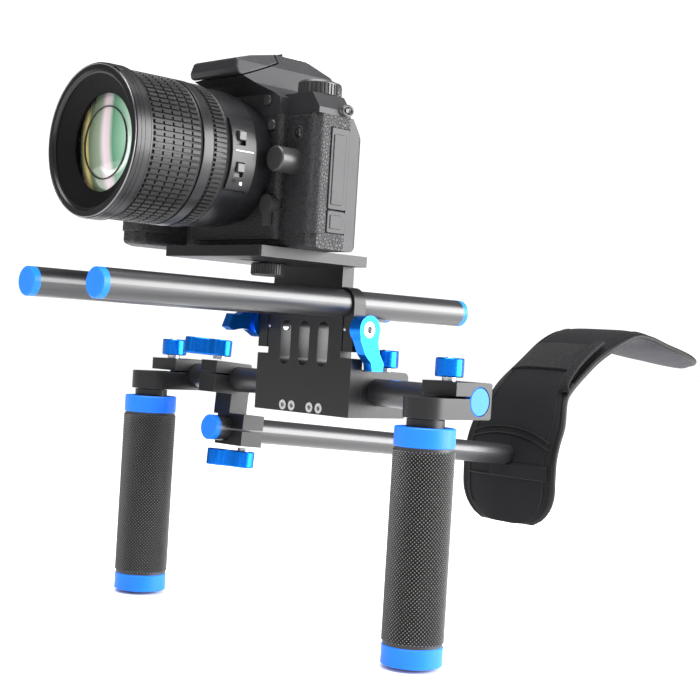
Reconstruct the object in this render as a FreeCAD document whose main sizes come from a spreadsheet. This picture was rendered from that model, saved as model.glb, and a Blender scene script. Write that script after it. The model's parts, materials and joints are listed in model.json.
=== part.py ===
"""Shoulder rig for a video camera: 15 mm rods, two handles, a shoulder pad and a mounted camera.

Frame: millimetres, +Z up, +X towards the operator's left, +Y towards the operator.
The origin lies midway between the axes of the two top rods, on the front face of the slotted plate.
"""
import FreeCAD, Part
import math
import operator
import os
from types import SimpleNamespace

import Sketcher
from FreeCAD import Rotation, Vector

SIZES = {
    # 15 mm rod system
    "rod_radius": 7.5, "rod_bore": 6.0, "rod_fit": 0.05, "rod_half_gap": 30.0, "rod_length": 254.0,
    "cap_depth": 4.0, "cap_edge": 0.6, "cap_plug": 8.0, "top_rod_front": -160.0,
    # slotted plate and its riser
    "plate_half": 39.0, "plate_deep": 8.5, "plate_base": -61.5, "notch_low": -29.5, "notch_top": -26.0,
    "notch_depth": 9.0, "ear_ring": 9.0, "riser_half": 28.3, "riser_top": 20.0, "slit_wide": 1.0,
    "slot_pitch": 15.5, "slot_half": 4.25, "slot_low": -35.0, "slot_top": -10.0,
    "lever_axis_height": -13.4, "lever_screw": 2.5, "hole_play": 0.1,
    "screw_height": -58.0, "screw_inner": 7.4, "screw_outer": 14.9, "screw_head": 2.8,
    "screw_shank": 1.6, "screw_head_deep": 2.8, "screw_long": 18.0, "riser_screw": 18.0,
    "tip_room": 1.0,
    # block behind the plate, and the cross rod
    "block_back": 45.0, "block_top": -36.0, "cross_deep": 21.25, "cross_height": -47.2,
    "cross_left_end": 113.4, "slit": 1.2, "block_knob_side": 28.0, "block_knob_deep": 37.0,
    # camera plate and its thumbscrew
    "deck_half": 40.0, "deck_front": -69.0, "deck_back": 7.0, "deck_thick": 5.7,
    "socket_deep": -29.4, "stud_radius": 3.1, "stud_rise": 5.0, "thumb_radius": 9.2,
    "thumb_thick": 7.0, "thumb_gap": 0.6,
    # ratchet levers
    "lever_inner": 39.6, "lever_boss": 7.5, "lever_thick": 8.2, "lever_arm_in": 1.9,
    "lever_turn": -111.3,
    # clamp knobs
    "knob_boss": 6.5, "knob_tip": 5.5, "knob_reach": 16.0, "knob_waist": 4.2, "knob_tall": 10.0,
    "knob_gap": 2.0, "knob_screw": 2.5, "knob_collar": 3.6, "knob_screw_bite": 16.0,
    # handles
    "clamp_half": 12.0, "clamp_front": 2.8, "clamp_back": 30.3, "clamp_low": -56.5,
    "clamp_high": -37.5, "clamp_screw_deep": 10.0, "arm_top": -45.8, "grip_deep": -5.5,
    "left_handle": 101.4, "right_handle": -132.0, "groove": 0.6, "groove_radius": 8.0,
    "neck_radius": 9.8, "neck_low": -61.0, "core_radius": 11.0, "ring_radius": 15.7,
    "ring_tall": 10.0, "grip_radius": 16.0, "grip_low": -171.0, "foot_low": -180.5,
    # shoulder clamp, rod and pad
    "pitch": 3.93, "hanger_outer": -95.0, "hanger_inner": -80.0, "hanger_screw": -87.5,
    "web_front": 16.6, "web_back": 31.0, "lower_top": -68.0, "lower_low": -87.0,
    "lower_outer": -91.0, "lower_inner": -66.0, "lower_back": 32.6, "lower_screw": -72.4,
    "shoulder_side": -83.0, "shoulder_height": -77.5, "shoulder_front": 3.95, "shoulder_back": 286.0,
    "pad_half": 41.5, "pad_thick": 10.0, "pad_corner": 28.0, "pad_tip_corner": 40.0,
    "stiffener_half": 28.0, "stiffener_thick": 2.0, "band_thick": 1.5,
    # camera body
    "body_left": 58.0, "body_right": -74.0, "body_front": -52.0, "body_split": -29.0,
    "body_back": -19.0, "body_base": 25.7, "body_top": 94.0, "shell": 2.4, "deck_rise": 11.0,
    "release_side": 41.5, "release_radius": 6.6, "release_tip": -65.0,
    "flash_button_side": 24.6, "flash_button_height": 101.7, "bracket_side": 29.2, "bracket_height": 88.4,
    "focus_lever_side": 31.0, "focus_lever_height": 47.5, "menu_side": 47.0, "selector_side": -48.0,
    "selector_height": 62.0, "shutter_side": -60.0, "shutter_deep": -68.0,
    "grip_side": -44.0, "grip_front": -80.0, 
    "dial_side": 42.0, "dial_centre": -38.5, "dial_radius": 10.3, "dial_tall": 7.0,
    # lens
    "lens_height": 69.7, "mount_face": -58.0, "panel_half": 36.0, "panel_front": -57.0, "mount_ring": 28.0,
    "mount_hole_deep": 14.0,
    "mount_throat": 23.0, "barrel_core": 33.0, "barrel_inner": 31.6, "ring_play": 0.1,
    "zoom_front": -137.0, "zoom_back": -106.0, "zoom_radius": 37.0, "band_back": -100.0,
    "focus_back": -89.5, "focus_radius": 36.5, "rear_barrel": 35.6, "rear_barrel_end": -72.0,
    "lens_front": -147.0, "rim_radius": 38.0, "telescope": 31.4, "telescope_wall": 2.4,
    "telescope_back": -76.0,
    "switch_panel_front": -88.5, "switch_panel_long": 15.5, "switch_panel_half": 18.0,
    "switch_panel_radius": 37.4, "switch_floor": 34.4, "switch_front": -85.0, "switch_long": 4.5,
    "switch_half": 2.2, "switch_travel": 2.0, "switch_room": 0.4, "switch_upper": 9.0, "switch_lower": 7.0,
}

AXIS_TURN = {
    "x": Rotation(Vector(0, 1, 0), 90), "y": Rotation(Vector(1, 0, 0), -90), "z": Rotation(),
    "-x": Rotation(Vector(0, 1, 0), -90), "-y": Rotation(Vector(1, 0, 0), 90),
    "-z": Rotation(Vector(1, 0, 0), 180),
}
NODES = {}

doc = FreeCAD.newDocument("shoulder_rig")


class Formula:
    """A number that also carries the sheet formula it comes from."""

    def __init__(self, value, text):
        self.value = float(value)
        self.text = text

    def __neg__(self):
        return Formula(-self.value, f"(0 - {self.text})")

    def __float__(self):
        return self.value


def formula(number):
    return number if isinstance(number, Formula) else Formula(number, repr(float(number)))


def operation(sign, work):
    def forward(self, other):
        other = formula(other)
        return Formula(work(self.value, other.value), f"({self.text} {sign} {other.text})")

    def backward(self, other):
        return forward(formula(other), self)

    return forward, backward


Formula.__add__, Formula.__radd__ = operation("+", operator.add)
Formula.__sub__, Formula.__rsub__ = operation("-", operator.sub)
Formula.__mul__, Formula.__rmul__ = operation("*", operator.mul)
Formula.__truediv__, Formula.__rtruediv__ = operation("/", operator.truediv)


def make_sheet():
    sheet = doc.addObject("Spreadsheet::Sheet", "Sizes")
    for row, (alias, value) in enumerate(SIZES.items(), start=1):
        sheet.set(f"A{row}", alias)
        sheet.set(f"B{row}", str(value))
        sheet.setAlias(f"B{row}", alias)
    doc.recompute()
    return SimpleNamespace(**{alias: Formula(value, f"Sizes.{alias}") for alias, value in SIZES.items()})


s = make_sheet()


def bind(thing, **properties):
    for name, value in properties.items():
        thing.setExpression(name, formula(value).text)


def place(thing, at, along="z"):
    thing.Placement = FreeCAD.Placement(Vector(), AXIS_TURN[along])
    for letter, value in zip("xyz", at):
        thing.setExpression(f"Placement.Base.{letter}", formula(value).text)
    return thing


def box(low, high):
    """A block between two corners."""
    thing = doc.addObject("Part::Box", "Block")
    length, width, height = (formula(top) - bottom for bottom, top in zip(low, high))
    bind(thing, Length=length, Width=width, Height=height)
    return place(thing, low)


def cylinder(radius, length, at, along="z"):
    thing = doc.addObject("Part::Cylinder", "Round")
    bind(thing, Radius=radius, Height=length)
    return place(thing, at, along)


def fuse(*pieces):
    thing = doc.addObject("Part::MultiFuse", "Joined")
    thing.Shapes = list(pieces)
    thing.Refine = True
    return thing


def cut(base, *tools):
    thing = doc.addObject("Part::Cut", "Cut")
    thing.Base = base
    thing.Tool = tools[0] if len(tools) == 1 else fuse(*tools)
    thing.Refine = True
    return thing


def common(first, second):
    thing = doc.addObject("Part::Common", "Shared")
    thing.Base = first
    thing.Tool = second
    return thing


def group(*pieces):
    """Several loose solids kept together in one node."""
    thing = doc.addObject("Part::Compound", "Group")
    thing.Links = list(pieces)
    return thing


def rounded(base, radius, pick, kind="Part::Fillet"):
    """Round (or chamfer) the edges that pick() accepts."""
    doc.recompute()
    chosen = [n for n, edge in enumerate(base.Shape.Edges, start=1) if pick(edge)]
    if not chosen:
        raise ValueError(f"no edge to round on {base.Name}")
    thing = doc.addObject(kind, "Rounded")
    thing.Base = base
    thing.Edges = [(n, float(radius), float(radius)) for n in chosen]
    return thing


def runs_along(letter, **limits):
    """An edge test: straight, parallel to one axis, with its middle inside the limits."""
    def test(edge):
        if edge.Curve.TypeId != "Part::GeomLine":
            return False
        way = edge.tangentAt(edge.FirstParameter)
        if abs(getattr(way, letter)) < 0.999:
            return False
        middle = edge.BoundBox.Center
        return all(low - 0.01 <= getattr(middle, axis) <= high + 0.01
                   for axis, (low, high) in limits.items())
    return test


def node(label, thing):
    """Keep an object as the sub-part with this name."""
    thing.Label = label
    NODES[label] = thing
    return thing


def outline_sketch(body, plane_role, points, circles=()):
    """A closed polygon whose corners are each held by two sheet-bound distances."""
    sketch = body.newObject("Sketcher::SketchObject", "Outline")
    plane = next(item for item in body.Origin.OriginFeatures if item.Role == plane_role)
    sketch.AttachmentSupport = [(plane, "")]
    sketch.MapMode = "FlatFace"
    corners = [Vector(float(u), float(v), 0) for u, v in points]
    count = len(corners)
    for n, corner in enumerate(corners):
        sketch.addGeometry(Part.LineSegment(corner, corners[(n + 1) % count]), False)
    for n in range(count):
        sketch.addConstraint(Sketcher.Constraint("Coincident", n, 2, (n + 1) % count, 1))
    for n, (u, v) in enumerate(points):
        hold_point(sketch, n, 1, u, v)
    for u, v, radius in circles:
        centre = Vector(float(u), float(v), 0)
        ring = sketch.addGeometry(Part.Circle(centre, Vector(0, 0, 1), float(radius)), False)
        hold_point(sketch, ring, 3, u, v)
        held = sketch.addConstraint(Sketcher.Constraint("Radius", ring, float(radius)))
        sketch.setExpression(f"Constraints[{held}]", formula(radius).text)
    return sketch


def hold_point(sketch, part, end, u, v):
    """Fix one sketch point to the origin by a horizontal and a vertical distance."""
    for kind, distance, line in (("DistanceX", u, -2), ("DistanceY", v, -1)):
        if float(distance) == 0.0:
            sketch.addConstraint(Sketcher.Constraint("PointOnObject", part, end, line))
            continue
        held = sketch.addConstraint(Sketcher.Constraint(kind, -1, 1, part, end, float(distance)))
        sketch.setExpression(f"Constraints[{held}]", formula(distance).text)


def prism(plane_role, points, length, at=(0, 0, 0), circles=(), backwards=False):
    """A polygon in one of the origin planes, padded along that plane's normal."""
    body = doc.addObject("PartDesign::Body", "Body")
    sketch = outline_sketch(body, plane_role, points, circles)
    pad = body.newObject("PartDesign::Pad", "Pad")
    pad.Profile = sketch
    pad.Reversed = backwards
    bind(pad, Length=length)
    return place(body, at)


def turned(profile, at, along="z"):
    """A lathe-turned body: profile is a list of (radius, height) corners about the local Z axis."""
    body = doc.addObject("PartDesign::Body", "Turned")
    sketch = outline_sketch(body, "XZ_Plane", profile)
    spin = body.newObject("PartDesign::Revolution", "Spin")
    spin.Profile = sketch
    spin.ReferenceAxis = (sketch, ["V_Axis"])
    spin.Angle = 360.0
    return place(body, at, along)


def ring(inner, outer, length, at, along="z"):
    return turned([(inner, 0), (outer, 0), (outer, length), (inner, length)], at, along)


# ---------------------------------------------------------------- rods and their caps

def rod(length, at, along):
    return ring(s.rod_bore, s.rod_radius, length, at, along)


def rod_cap(at, along):
    """A plug with a chamfered disc; its local Z axis points into the rod."""
    plug = s.rod_bore - s.hole_play
    profile = [(0, 0), (s.rod_radius - s.cap_edge, 0), (s.rod_radius, s.cap_edge),
               (s.rod_radius, s.cap_depth), (plug, s.cap_depth), (plug, s.cap_depth + s.cap_plug),
               (0, s.cap_depth + s.cap_plug)]
    return turned(profile, at, along)


def top_rods():
    for side, x in (("left", s.rod_half_gap), ("right", -s.rod_half_gap)):
        start = s.top_rod_front + s.cap_depth
        node(f"top_rod_{side}", rod(s.rod_length - 2 * s.cap_depth, (x, start, 0), "y"))
        caps = group(rod_cap((x, s.top_rod_front, 0), "y"),
                     rod_cap((x, s.top_rod_front + s.rod_length, 0), "-y"))
        node(f"top_rod_{side}_caps", caps)


# ---------------------------------------------------------------- slotted plate and block

def slotted_plate():
    half, deep = s.plate_half, s.plate_deep
    inner = half - s.notch_depth
    outline = [(-half, s.plate_base), (half, s.plate_base), (half, s.notch_low), (inner, s.notch_low),
               (inner, s.notch_top), (half, s.notch_top), (half, 0), (s.riser_half, 0),
               (s.riser_half, s.riser_top), (-s.riser_half, s.riser_top), (-s.riser_half, 0), (-half, 0),
               (-half, s.notch_top), (-inner, s.notch_top), (-inner, s.notch_low), (-half, s.notch_low)]
    sheet_metal = prism("XZ_Plane", outline, deep, backwards=True)
    rings = [cylinder(s.ear_ring, deep, (x, 0, 0), "y") for x in (s.rod_half_gap, -s.rod_half_gap)]
    blank = fuse(sheet_metal, *rings)
    tools = []
    for sign in (1, -1):
        x = sign * s.rod_half_gap
        tools.append(cylinder(s.rod_radius + s.rod_fit, deep, (x, 0, 0), "y"))
        slit_low = x - s.slit_wide / 2 + sign * s.slit_wide
        tools.append(box((slit_low, 0, s.notch_top), (slit_low + s.slit_wide, deep, 0)))
        slot_edge = s.slot_pitch + s.slot_half
        hole_start = slot_edge if sign > 0 else -s.plate_half
        tools.append(cylinder(s.lever_screw + s.hole_play, s.plate_half - slot_edge,
                              (hole_start, deep / 2, s.lever_axis_height), "x"))
        screw_tip = s.riser_top + s.deck_thick - s.screw_long - s.tip_room
        tools.append(cylinder(s.screw_shank + s.hole_play, s.riser_top - screw_tip,
                              (sign * s.riser_screw, deep / 2, screw_tip)))
    for step in (-1, 0, 1):
        x = step * s.slot_pitch
        slot = fuse(box((x - s.slot_half, 0, s.slot_low + s.slot_half),
                        (x + s.slot_half, deep, s.slot_top - s.slot_half)),
                    cylinder(s.slot_half, deep, (x, 0, s.slot_low + s.slot_half), "y"),
                    cylinder(s.slot_half, deep, (x, 0, s.slot_top - s.slot_half), "y"))
        tools.append(slot)
    for x in screw_places():
        tools.append(cylinder(s.screw_shank + s.hole_play, deep, (x, 0, s.screw_height), "y"))
        tools.append(cylinder(s.screw_head + s.hole_play, s.screw_head_deep + s.hole_play * 2,
                              (x, 0, s.screw_height), "y"))
    node("slotted_plate", cut(blank, *tools))


def screw_places():
    return (s.screw_inner, s.screw_outer, -s.screw_inner, -s.screw_outer)


def socket_screw(at, along):
    """A small cap screw with a hexagon socket; local Z points from head to tip."""
    bar = fuse(cylinder(s.screw_head, s.screw_head_deep, (0, 0, 0)),
               cylinder(s.screw_shank, s.screw_long, (0, 0, 0)))
    socket = doc.addObject("Part::Prism", "Socket")
    socket.Polygon = 6
    bind(socket, Circumradius=s.screw_shank * 0.9, Height=s.screw_head_deep * 0.6)
    return place(cut(bar, socket), at, along)


def plate_screws():
    front = [socket_screw((x, s.hole_play, s.screw_height), "y") for x in screw_places()]
    top = s.riser_top + s.deck_thick - s.hole_play
    upright = [socket_screw((x, s.plate_deep / 2, top), "-z") for x in (s.riser_screw, -s.riser_screw)]
    node("plate_screws", group(*front, *upright))


def rod_block():
    low, back = s.plate_base, s.block_back
    blank = box((-s.plate_half, s.plate_deep, low), (s.plate_half, back, s.block_top))
    blank = rounded(blank, 3, runs_along("x", y=(float(back), float(back))))
    tools = [cylinder(s.rod_radius + s.rod_fit, 2 * s.plate_half, (-s.plate_half, s.cross_deep,
                                                                   s.cross_height), "x"),
             box((-s.plate_half, s.cross_deep, s.cross_height - s.slit / 2),
                 (s.plate_half, back, s.cross_height + s.slit / 2)),
             cylinder(s.knob_screw + s.hole_play, s.block_top - low - 5,
                      (s.block_knob_side, s.block_knob_deep, low + 5))]
    for x in screw_places():
        tools.append(cylinder(s.screw_shank + s.hole_play, s.screw_long - s.plate_deep + 1,
                              (x, s.plate_deep, s.screw_height), "y"))
    node("rod_block", cut(blank, *tools))


# ---------------------------------------------------------------- camera plate

def camera_plate():
    top = s.riser_top + s.deck_thick
    blank = box((-s.deck_half, s.deck_front, s.riser_top), (s.deck_half, s.deck_back, top))
    blank = rounded(blank, 0.8, runs_along("z"), "Part::Chamfer")
    slot_half = s.stud_radius + 2 * s.hole_play
    tools = [box((-slot_half, s.socket_deep - 20, s.riser_top), (slot_half, s.socket_deep + 15, top))]
    for x in (s.riser_screw, -s.riser_screw):
        centre = (x, s.plate_deep / 2, s.riser_top)
        head_low = (x, s.plate_deep / 2, top - s.screw_head_deep - s.hole_play * 2)
        tools.append(cylinder(s.screw_shank + s.hole_play, s.deck_thick, centre))
        tools.append(cylinder(s.screw_head + s.hole_play, s.screw_head_deep + s.hole_play * 2, head_low))
    node("camera_plate", cut(blank, *tools))


def camera_thumbscrew():
    """Knurled 1/4 inch screw that holds the camera down on its plate."""
    low = s.riser_top - s.thumb_gap - s.thumb_thick
    stud_top = s.thumb_thick + s.thumb_gap + s.deck_thick + s.stud_rise
    neck_top = s.thumb_thick + s.thumb_gap - 0.05
    radius = s.thumb_radius
    knurl = [cylinder(0.5, s.thumb_thick - 1.6, (radius * math.cos(a), radius * math.sin(a), 0.8))
             for a in (math.radians(10 * n) for n in range(36))]
    head = turned([(0, 0), (radius - 0.8, 0), (radius, 0.8), (radius, s.thumb_thick - 0.8),
                   (radius - 0.8, s.thumb_thick), (5, s.thumb_thick),
                   (5, neck_top), (s.stud_radius, neck_top), (s.stud_radius, stud_top), (0, stud_top)],
                  (0, 0, 0))
    node("camera_thumbscrew", place(cut(head, *knurl), (0, s.socket_deep, low)))


# ---------------------------------------------------------------- levers and knobs

def ratchet_lever(side, sign, turn):
    """A curved lever on the outside of the plate's ear, with its cap screw."""
    y, z = s.plate_deep / 2, s.lever_axis_height
    near = s.lever_inner if sign > 0 else -s.lever_inner - s.lever_thick
    boss = cylinder(s.lever_boss, s.lever_thick, (near, y, z), "x")
    arm_start = near + s.lever_arm_in if sign > 0 else near
    arm_points = [(-3.1, -13.4), (-2.2, -19.5), (1.8, -27), (6.6, -31.6), (7.4, -35.6), (15.6, -35.6),
                  (16, -31.4), (12.4, -26), (10.9, -20), (11.6, -13.4)]
    arm = prism("YZ_Plane", arm_points, s.lever_thick - s.lever_arm_in, (arm_start, 0, 0))
    bore = cylinder(s.lever_screw + s.hole_play, s.lever_thick, (near, y, z), "x")
    outer = near + s.lever_thick if sign > 0 else near
    head_radius, head_deep = s.lever_screw * 1.7, 4.0
    pocket_start = outer - head_deep if sign > 0 else outer
    pocket = cylinder(head_radius + s.hole_play, head_deep, (pocket_start, y, z), "x")
    lever = cut(fuse(boss, arm), bore, pocket)
    shank_length = s.lever_inner + s.lever_thick - s.slot_pitch - s.slot_half
    shank_start = outer - shank_length + 0.4 if sign > 0 else outer - 0.4 + 0.8
    shank = cylinder(s.lever_screw, shank_length - 1.2, (shank_start, y, z), "x")
    head_start = outer - head_deep + 0.4 if sign > 0 else outer + 0.4
    head = cylinder(head_radius, head_deep - 0.8, (head_start, y, z), "x")
    socket = doc.addObject("Part::Prism", "Socket")
    socket.Polygon = 6
    bind(socket, Circumradius=s.lever_screw * 0.9, Height=2.4)
    place(socket, (outer - 2.4 if sign > 0 else outer, y, z), "x")
    screw = cut(fuse(shank, head), socket)
    for label, thing in ((f"ratchet_lever_{side}", lever), (f"ratchet_screw_{side}", screw)):
        swing(thing, turn, y, z)
        node(label, thing)


def swing(thing, degrees, y, z):
    """Turn a finished object about an axis parallel to X through (y, z)."""
    spin = Rotation(Vector(1, 0, 0), degrees)
    centre = Vector(0, float(y), float(z))
    thing.Placement = FreeCAD.Placement(Vector(), spin, centre)


def clamp_knob(at, heading, below=False):
    """A wing-shaped knob with its steel screw; at is the clamp face that it stands over."""
    reach, boss, tip, waist = s.knob_reach, s.knob_boss, s.knob_tip, s.knob_waist
    tall = s.knob_tall
    web = prism("XY_Plane", [(0, -boss * 0.9), (reach * 0.45, -waist), (reach, -tip * 0.95),
                             (reach, tip * 0.95), (reach * 0.45, waist), (0, boss * 0.9)], tall,
                (0, 0, s.knob_gap))
    solid = fuse(cylinder(boss, tall, (0, 0, s.knob_gap)), web,
                 cylinder(tip, tall, (reach, 0, s.knob_gap)))
    bore = cylinder(s.knob_screw + s.hole_play / 2, tall + s.knob_gap, (0, 0, 0))
    wing = cut(solid, bore)
    screw_long = s.knob_screw_bite + s.knob_gap + tall - 1
    screw = fuse(cylinder(s.knob_screw, screw_long, (0, 0, -s.knob_screw_bite)),
                 cylinder(s.knob_collar, s.knob_gap - 0.3, (0, 0, 0.15)))
    pair = group(wing, screw)
    spin = Rotation(Vector(0, 0, 1), heading)
    flip = Rotation(Vector(1, 0, 0), 180) if below else Rotation()
    pair.Placement = FreeCAD.Placement(Vector(*(float(v) for v in at)), flip * spin)
    return pair


# ---------------------------------------------------------------- handles

def clamp_block(x_low, x_high):
    """The split clamp that closes on the cross rod from the front."""
    block = box((x_low, s.clamp_front, s.clamp_low), (x_high, s.clamp_back, s.clamp_high))
    return rounded(block, 1.5, runs_along("x", y=(float(s.clamp_back), float(s.clamp_back))))


def clamp_cuts(x_low, x_high, screw_x):
    centre = (x_low, s.cross_deep, s.cross_height)
    return [cylinder(s.rod_radius + s.rod_fit, x_high - x_low, centre, "x"),
            box((x_low, s.clamp_front, s.arm_top), (x_high, s.cross_deep, s.arm_top + s.slit)),
            cylinder(s.knob_screw + s.hole_play, s.clamp_high - s.clamp_low,
                     (screw_x, s.clamp_screw_deep, s.clamp_low))]


def sleeve(radius, low, high, x):
    """A tube on the handle's core with both outer edges broken."""
    edge = 0.5
    return turned([(s.core_radius, low), (radius - edge, low), (radius, low + edge), (radius, high - edge),
                   (radius - edge, high), (s.core_radius, high)], (x, s.grip_deep, 0))


def handle(side, x):
    half = s.clamp_half
    arm = box((x - half, s.grip_deep, s.clamp_low), (x + half, s.clamp_screw_deep, s.arm_top))
    boss = cylinder(half, s.arm_top - s.clamp_low, (x, s.grip_deep, s.clamp_low))
    blank = fuse(clamp_block(x - half, x + half), arm, boss)
    node(f"handle_{side}_arm", cut(blank, *clamp_cuts(x - half, x + half, x)))

    top = s.clamp_low
    core = turned([(0, s.foot_low), (s.core_radius, s.foot_low), (s.core_radius, s.neck_low),
                   (s.neck_radius, s.neck_low), (s.neck_radius, top - s.groove),
                   (s.groove_radius, top - s.groove), (s.groove_radius, top), (0, top)],
                  (x, s.grip_deep, 0))
    node(f"handle_{side}_core", core)

    grip_top, grip_foot = s.neck_low - s.ring_tall, s.grip_low + 0.5
    node(f"handle_{side}_rings", group(sleeve(s.ring_radius, grip_top, s.neck_low, x),
                                       sleeve(s.ring_radius, grip_foot - s.ring_tall, grip_foot, x)))
    node(f"handle_{side}_grip", sleeve(s.grip_radius, grip_foot, grip_top, x))
    node(f"handle_{side}_knob", clamp_knob((x, s.clamp_screw_deep, s.clamp_high), 136))


# ---------------------------------------------------------------- shoulder clamp, rod and pad

def pitched(thing):
    """The shoulder clamp hangs tilted about the cross rod."""
    spin = Rotation(Vector(1, 0, 0), -float(s.pitch))
    centre = Vector(0, float(s.cross_deep), float(s.cross_height))
    thing.Placement = FreeCAD.Placement(Vector(), spin, centre) * thing.Placement
    return thing


def shoulder_clamp():
    upper = clamp_block(s.hanger_outer, s.hanger_inner)
    web = box((s.hanger_outer, s.web_front, s.lower_top - 1),
              (s.hanger_inner, s.web_back - 1, s.clamp_low + 1))
    lower = box((s.lower_outer, s.web_front, s.lower_low), (s.lower_inner, s.lower_back, s.lower_top))
    tools = clamp_cuts(s.hanger_outer, s.hanger_inner, s.hanger_screw)
    tools += [cylinder(s.rod_radius + s.rod_fit, s.lower_back - s.web_front,
                       (s.shoulder_side, s.web_front, s.shoulder_height), "y"),
              box((s.shoulder_side, s.web_front, s.shoulder_height - s.slit / 2),
                  (s.lower_inner, s.lower_back, s.shoulder_height + s.slit / 2)),
              cylinder(s.knob_screw + s.hole_play, s.lower_top - s.lower_low - 2,
                       (s.lower_screw, (s.web_front + s.lower_back) / 2, s.lower_low))]
    node("shoulder_clamp", pitched(cut(fuse(upper, web, lower), *tools)))
    upper_at = (s.hanger_screw, s.clamp_screw_deep, s.clamp_high)
    node("shoulder_upper_knob", pitched(clamp_knob(upper_at, 226)))
    lower_at = (s.lower_screw, (s.web_front + s.lower_back) / 2, s.lower_low)
    node("shoulder_lower_knob", pitched(clamp_knob(lower_at, 134, below=True)))


def shoulder_rod():
    at = (s.shoulder_side, s.shoulder_front + s.cap_depth, s.shoulder_height)
    length = s.shoulder_back - s.shoulder_front - s.cap_depth
    node("shoulder_rod", pitched_round(rod(length, at, "y"), at))
    cap_at = (s.shoulder_side, s.shoulder_front, s.shoulder_height)
    node("shoulder_rod_cap", pitched_round(rod_cap(cap_at, "y"), cap_at))


def pitched_round(thing, at):
    """Tilt a turned body: its bound position is replaced by the tilted one."""
    for letter in "xyz":
        thing.setExpression(f"Placement.Base.{letter}", None)
    thing.Placement = FreeCAD.Placement(Vector(*(float(v) for v in at)), AXIS_TURN["y"])
    return pitched(thing)


PAD_TOP = [(281, -145), (279, -105), (281, -88), (287, -72), (300, -47), (323, -28), (351, -10), (378, 1),
           (397, 1), (424, -5), (460, -11), (500, -17)]


def pad_run(depth, start=0.0, end=1.0, steps=24):
    """Points of the pad's side profile, depth below its outer face, between two fractions of it."""
    curve = Part.BSplineCurve()
    curve.interpolate([Vector(0, y, z) for y, z in PAD_TOP])
    first, last = curve.FirstParameter, curve.LastParameter
    points = []
    for n in range(steps + 1):
        here = first + (last - first) * (start + (end - start) * n / steps)
        tangent = curve.tangent(here)[0]
        inward = Vector(0, tangent.z, -tangent.y)
        points.append(curve.value(here) + inward * depth)
    return points


def corner_edges(sheet, thick, chosen):
    """The straight edges through a sheet's thickness whose depth along Y is the chosen one."""
    return [edge for edge in sheet.Edges
            if edge.Curve.TypeId == "Part::GeomLine" and abs(edge.Length - thick) < 0.5
            and abs(edge.tangentAt(0).x) < 0.01 and chosen(edge.CenterOfMass.y)]


def pad_sheet(label, shallow, deep, half, start=0.0, end=1.0, foot_corner=0.0, tip_corner=0.0, hole=None):
    """A bent sheet that follows the pad's profile between two depths."""
    outer, inner = pad_run(shallow, start, end), pad_run(deep, start, end)
    edges = []
    for run in (outer, inner):
        line = Part.BSplineCurve()
        line.interpolate(run)
        edges.append(line.toShape())
    edges.append(Part.makeLine(outer[0], inner[0]))
    edges.append(Part.makeLine(outer[-1], inner[-1]))
    face = Part.Face(Part.Wire(Part.__sortEdges__(edges)))
    solid = face.extrude(Vector(2 * half, 0, 0))
    solid.translate(Vector(float(s.shoulder_side) - half, 0, 0))
    middle = (outer[0].y + outer[-1].y) / 2
    if foot_corner:
        solid = solid.makeFillet(foot_corner, corner_edges(solid, deep - shallow, lambda y: y < middle))
    if tip_corner:
        solid = solid.makeFillet(tip_corner, corner_edges(solid, deep - shallow, lambda y: y > middle))
    if hole:
        solid = solid.cut(hole)
    thing = doc.addObject("Part::Feature", label)
    thing.Shape = solid
    node(label, thing)


def shoulder_pad():
    thick = float(s.pad_thick)
    middle = (thick - float(s.stiffener_thick)) / 2
    rod_hole = Part.makeCylinder(float(s.rod_radius) + 0.3, 40,
                                 Vector(float(s.shoulder_side), 250, float(s.shoulder_height)),
                                 Vector(0, 1, 0))
    turn = Rotation(Vector(1, 0, 0), -float(s.pitch))
    rod_hole.Placement = FreeCAD.Placement(
        Vector(), turn, Vector(0, float(s.cross_deep), float(s.cross_height))) * rod_hole.Placement
    pad_sheet("shoulder_pad", 0.0, thick, float(s.pad_half),
              foot_corner=float(s.pad_corner), tip_corner=float(s.pad_tip_corner), hole=rod_hole)
    pad_sheet("pad_plate", middle + 2.4, middle + 2.4 + float(s.stiffener_thick),
              float(s.stiffener_half), 0.05, 0.92)
    pad_sheet("pad_strap", -float(s.band_thick) - 0.2, -0.2, float(s.pad_half) - 6, 0.36, 0.50)


# ---------------------------------------------------------------- camera body

def tripod_socket():
    """The threaded hole in the base, which both body covers share."""
    return cylinder(s.stud_radius + s.hole_play, s.stud_rise + s.tip_room, (0, s.socket_deep, s.body_base))


def lens_opening():
    """The round hole that holds the lens mount."""
    return cylinder(s.mount_ring + s.hole_play, s.mount_hole_deep, (0, s.mount_face, s.lens_height), "y")


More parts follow.
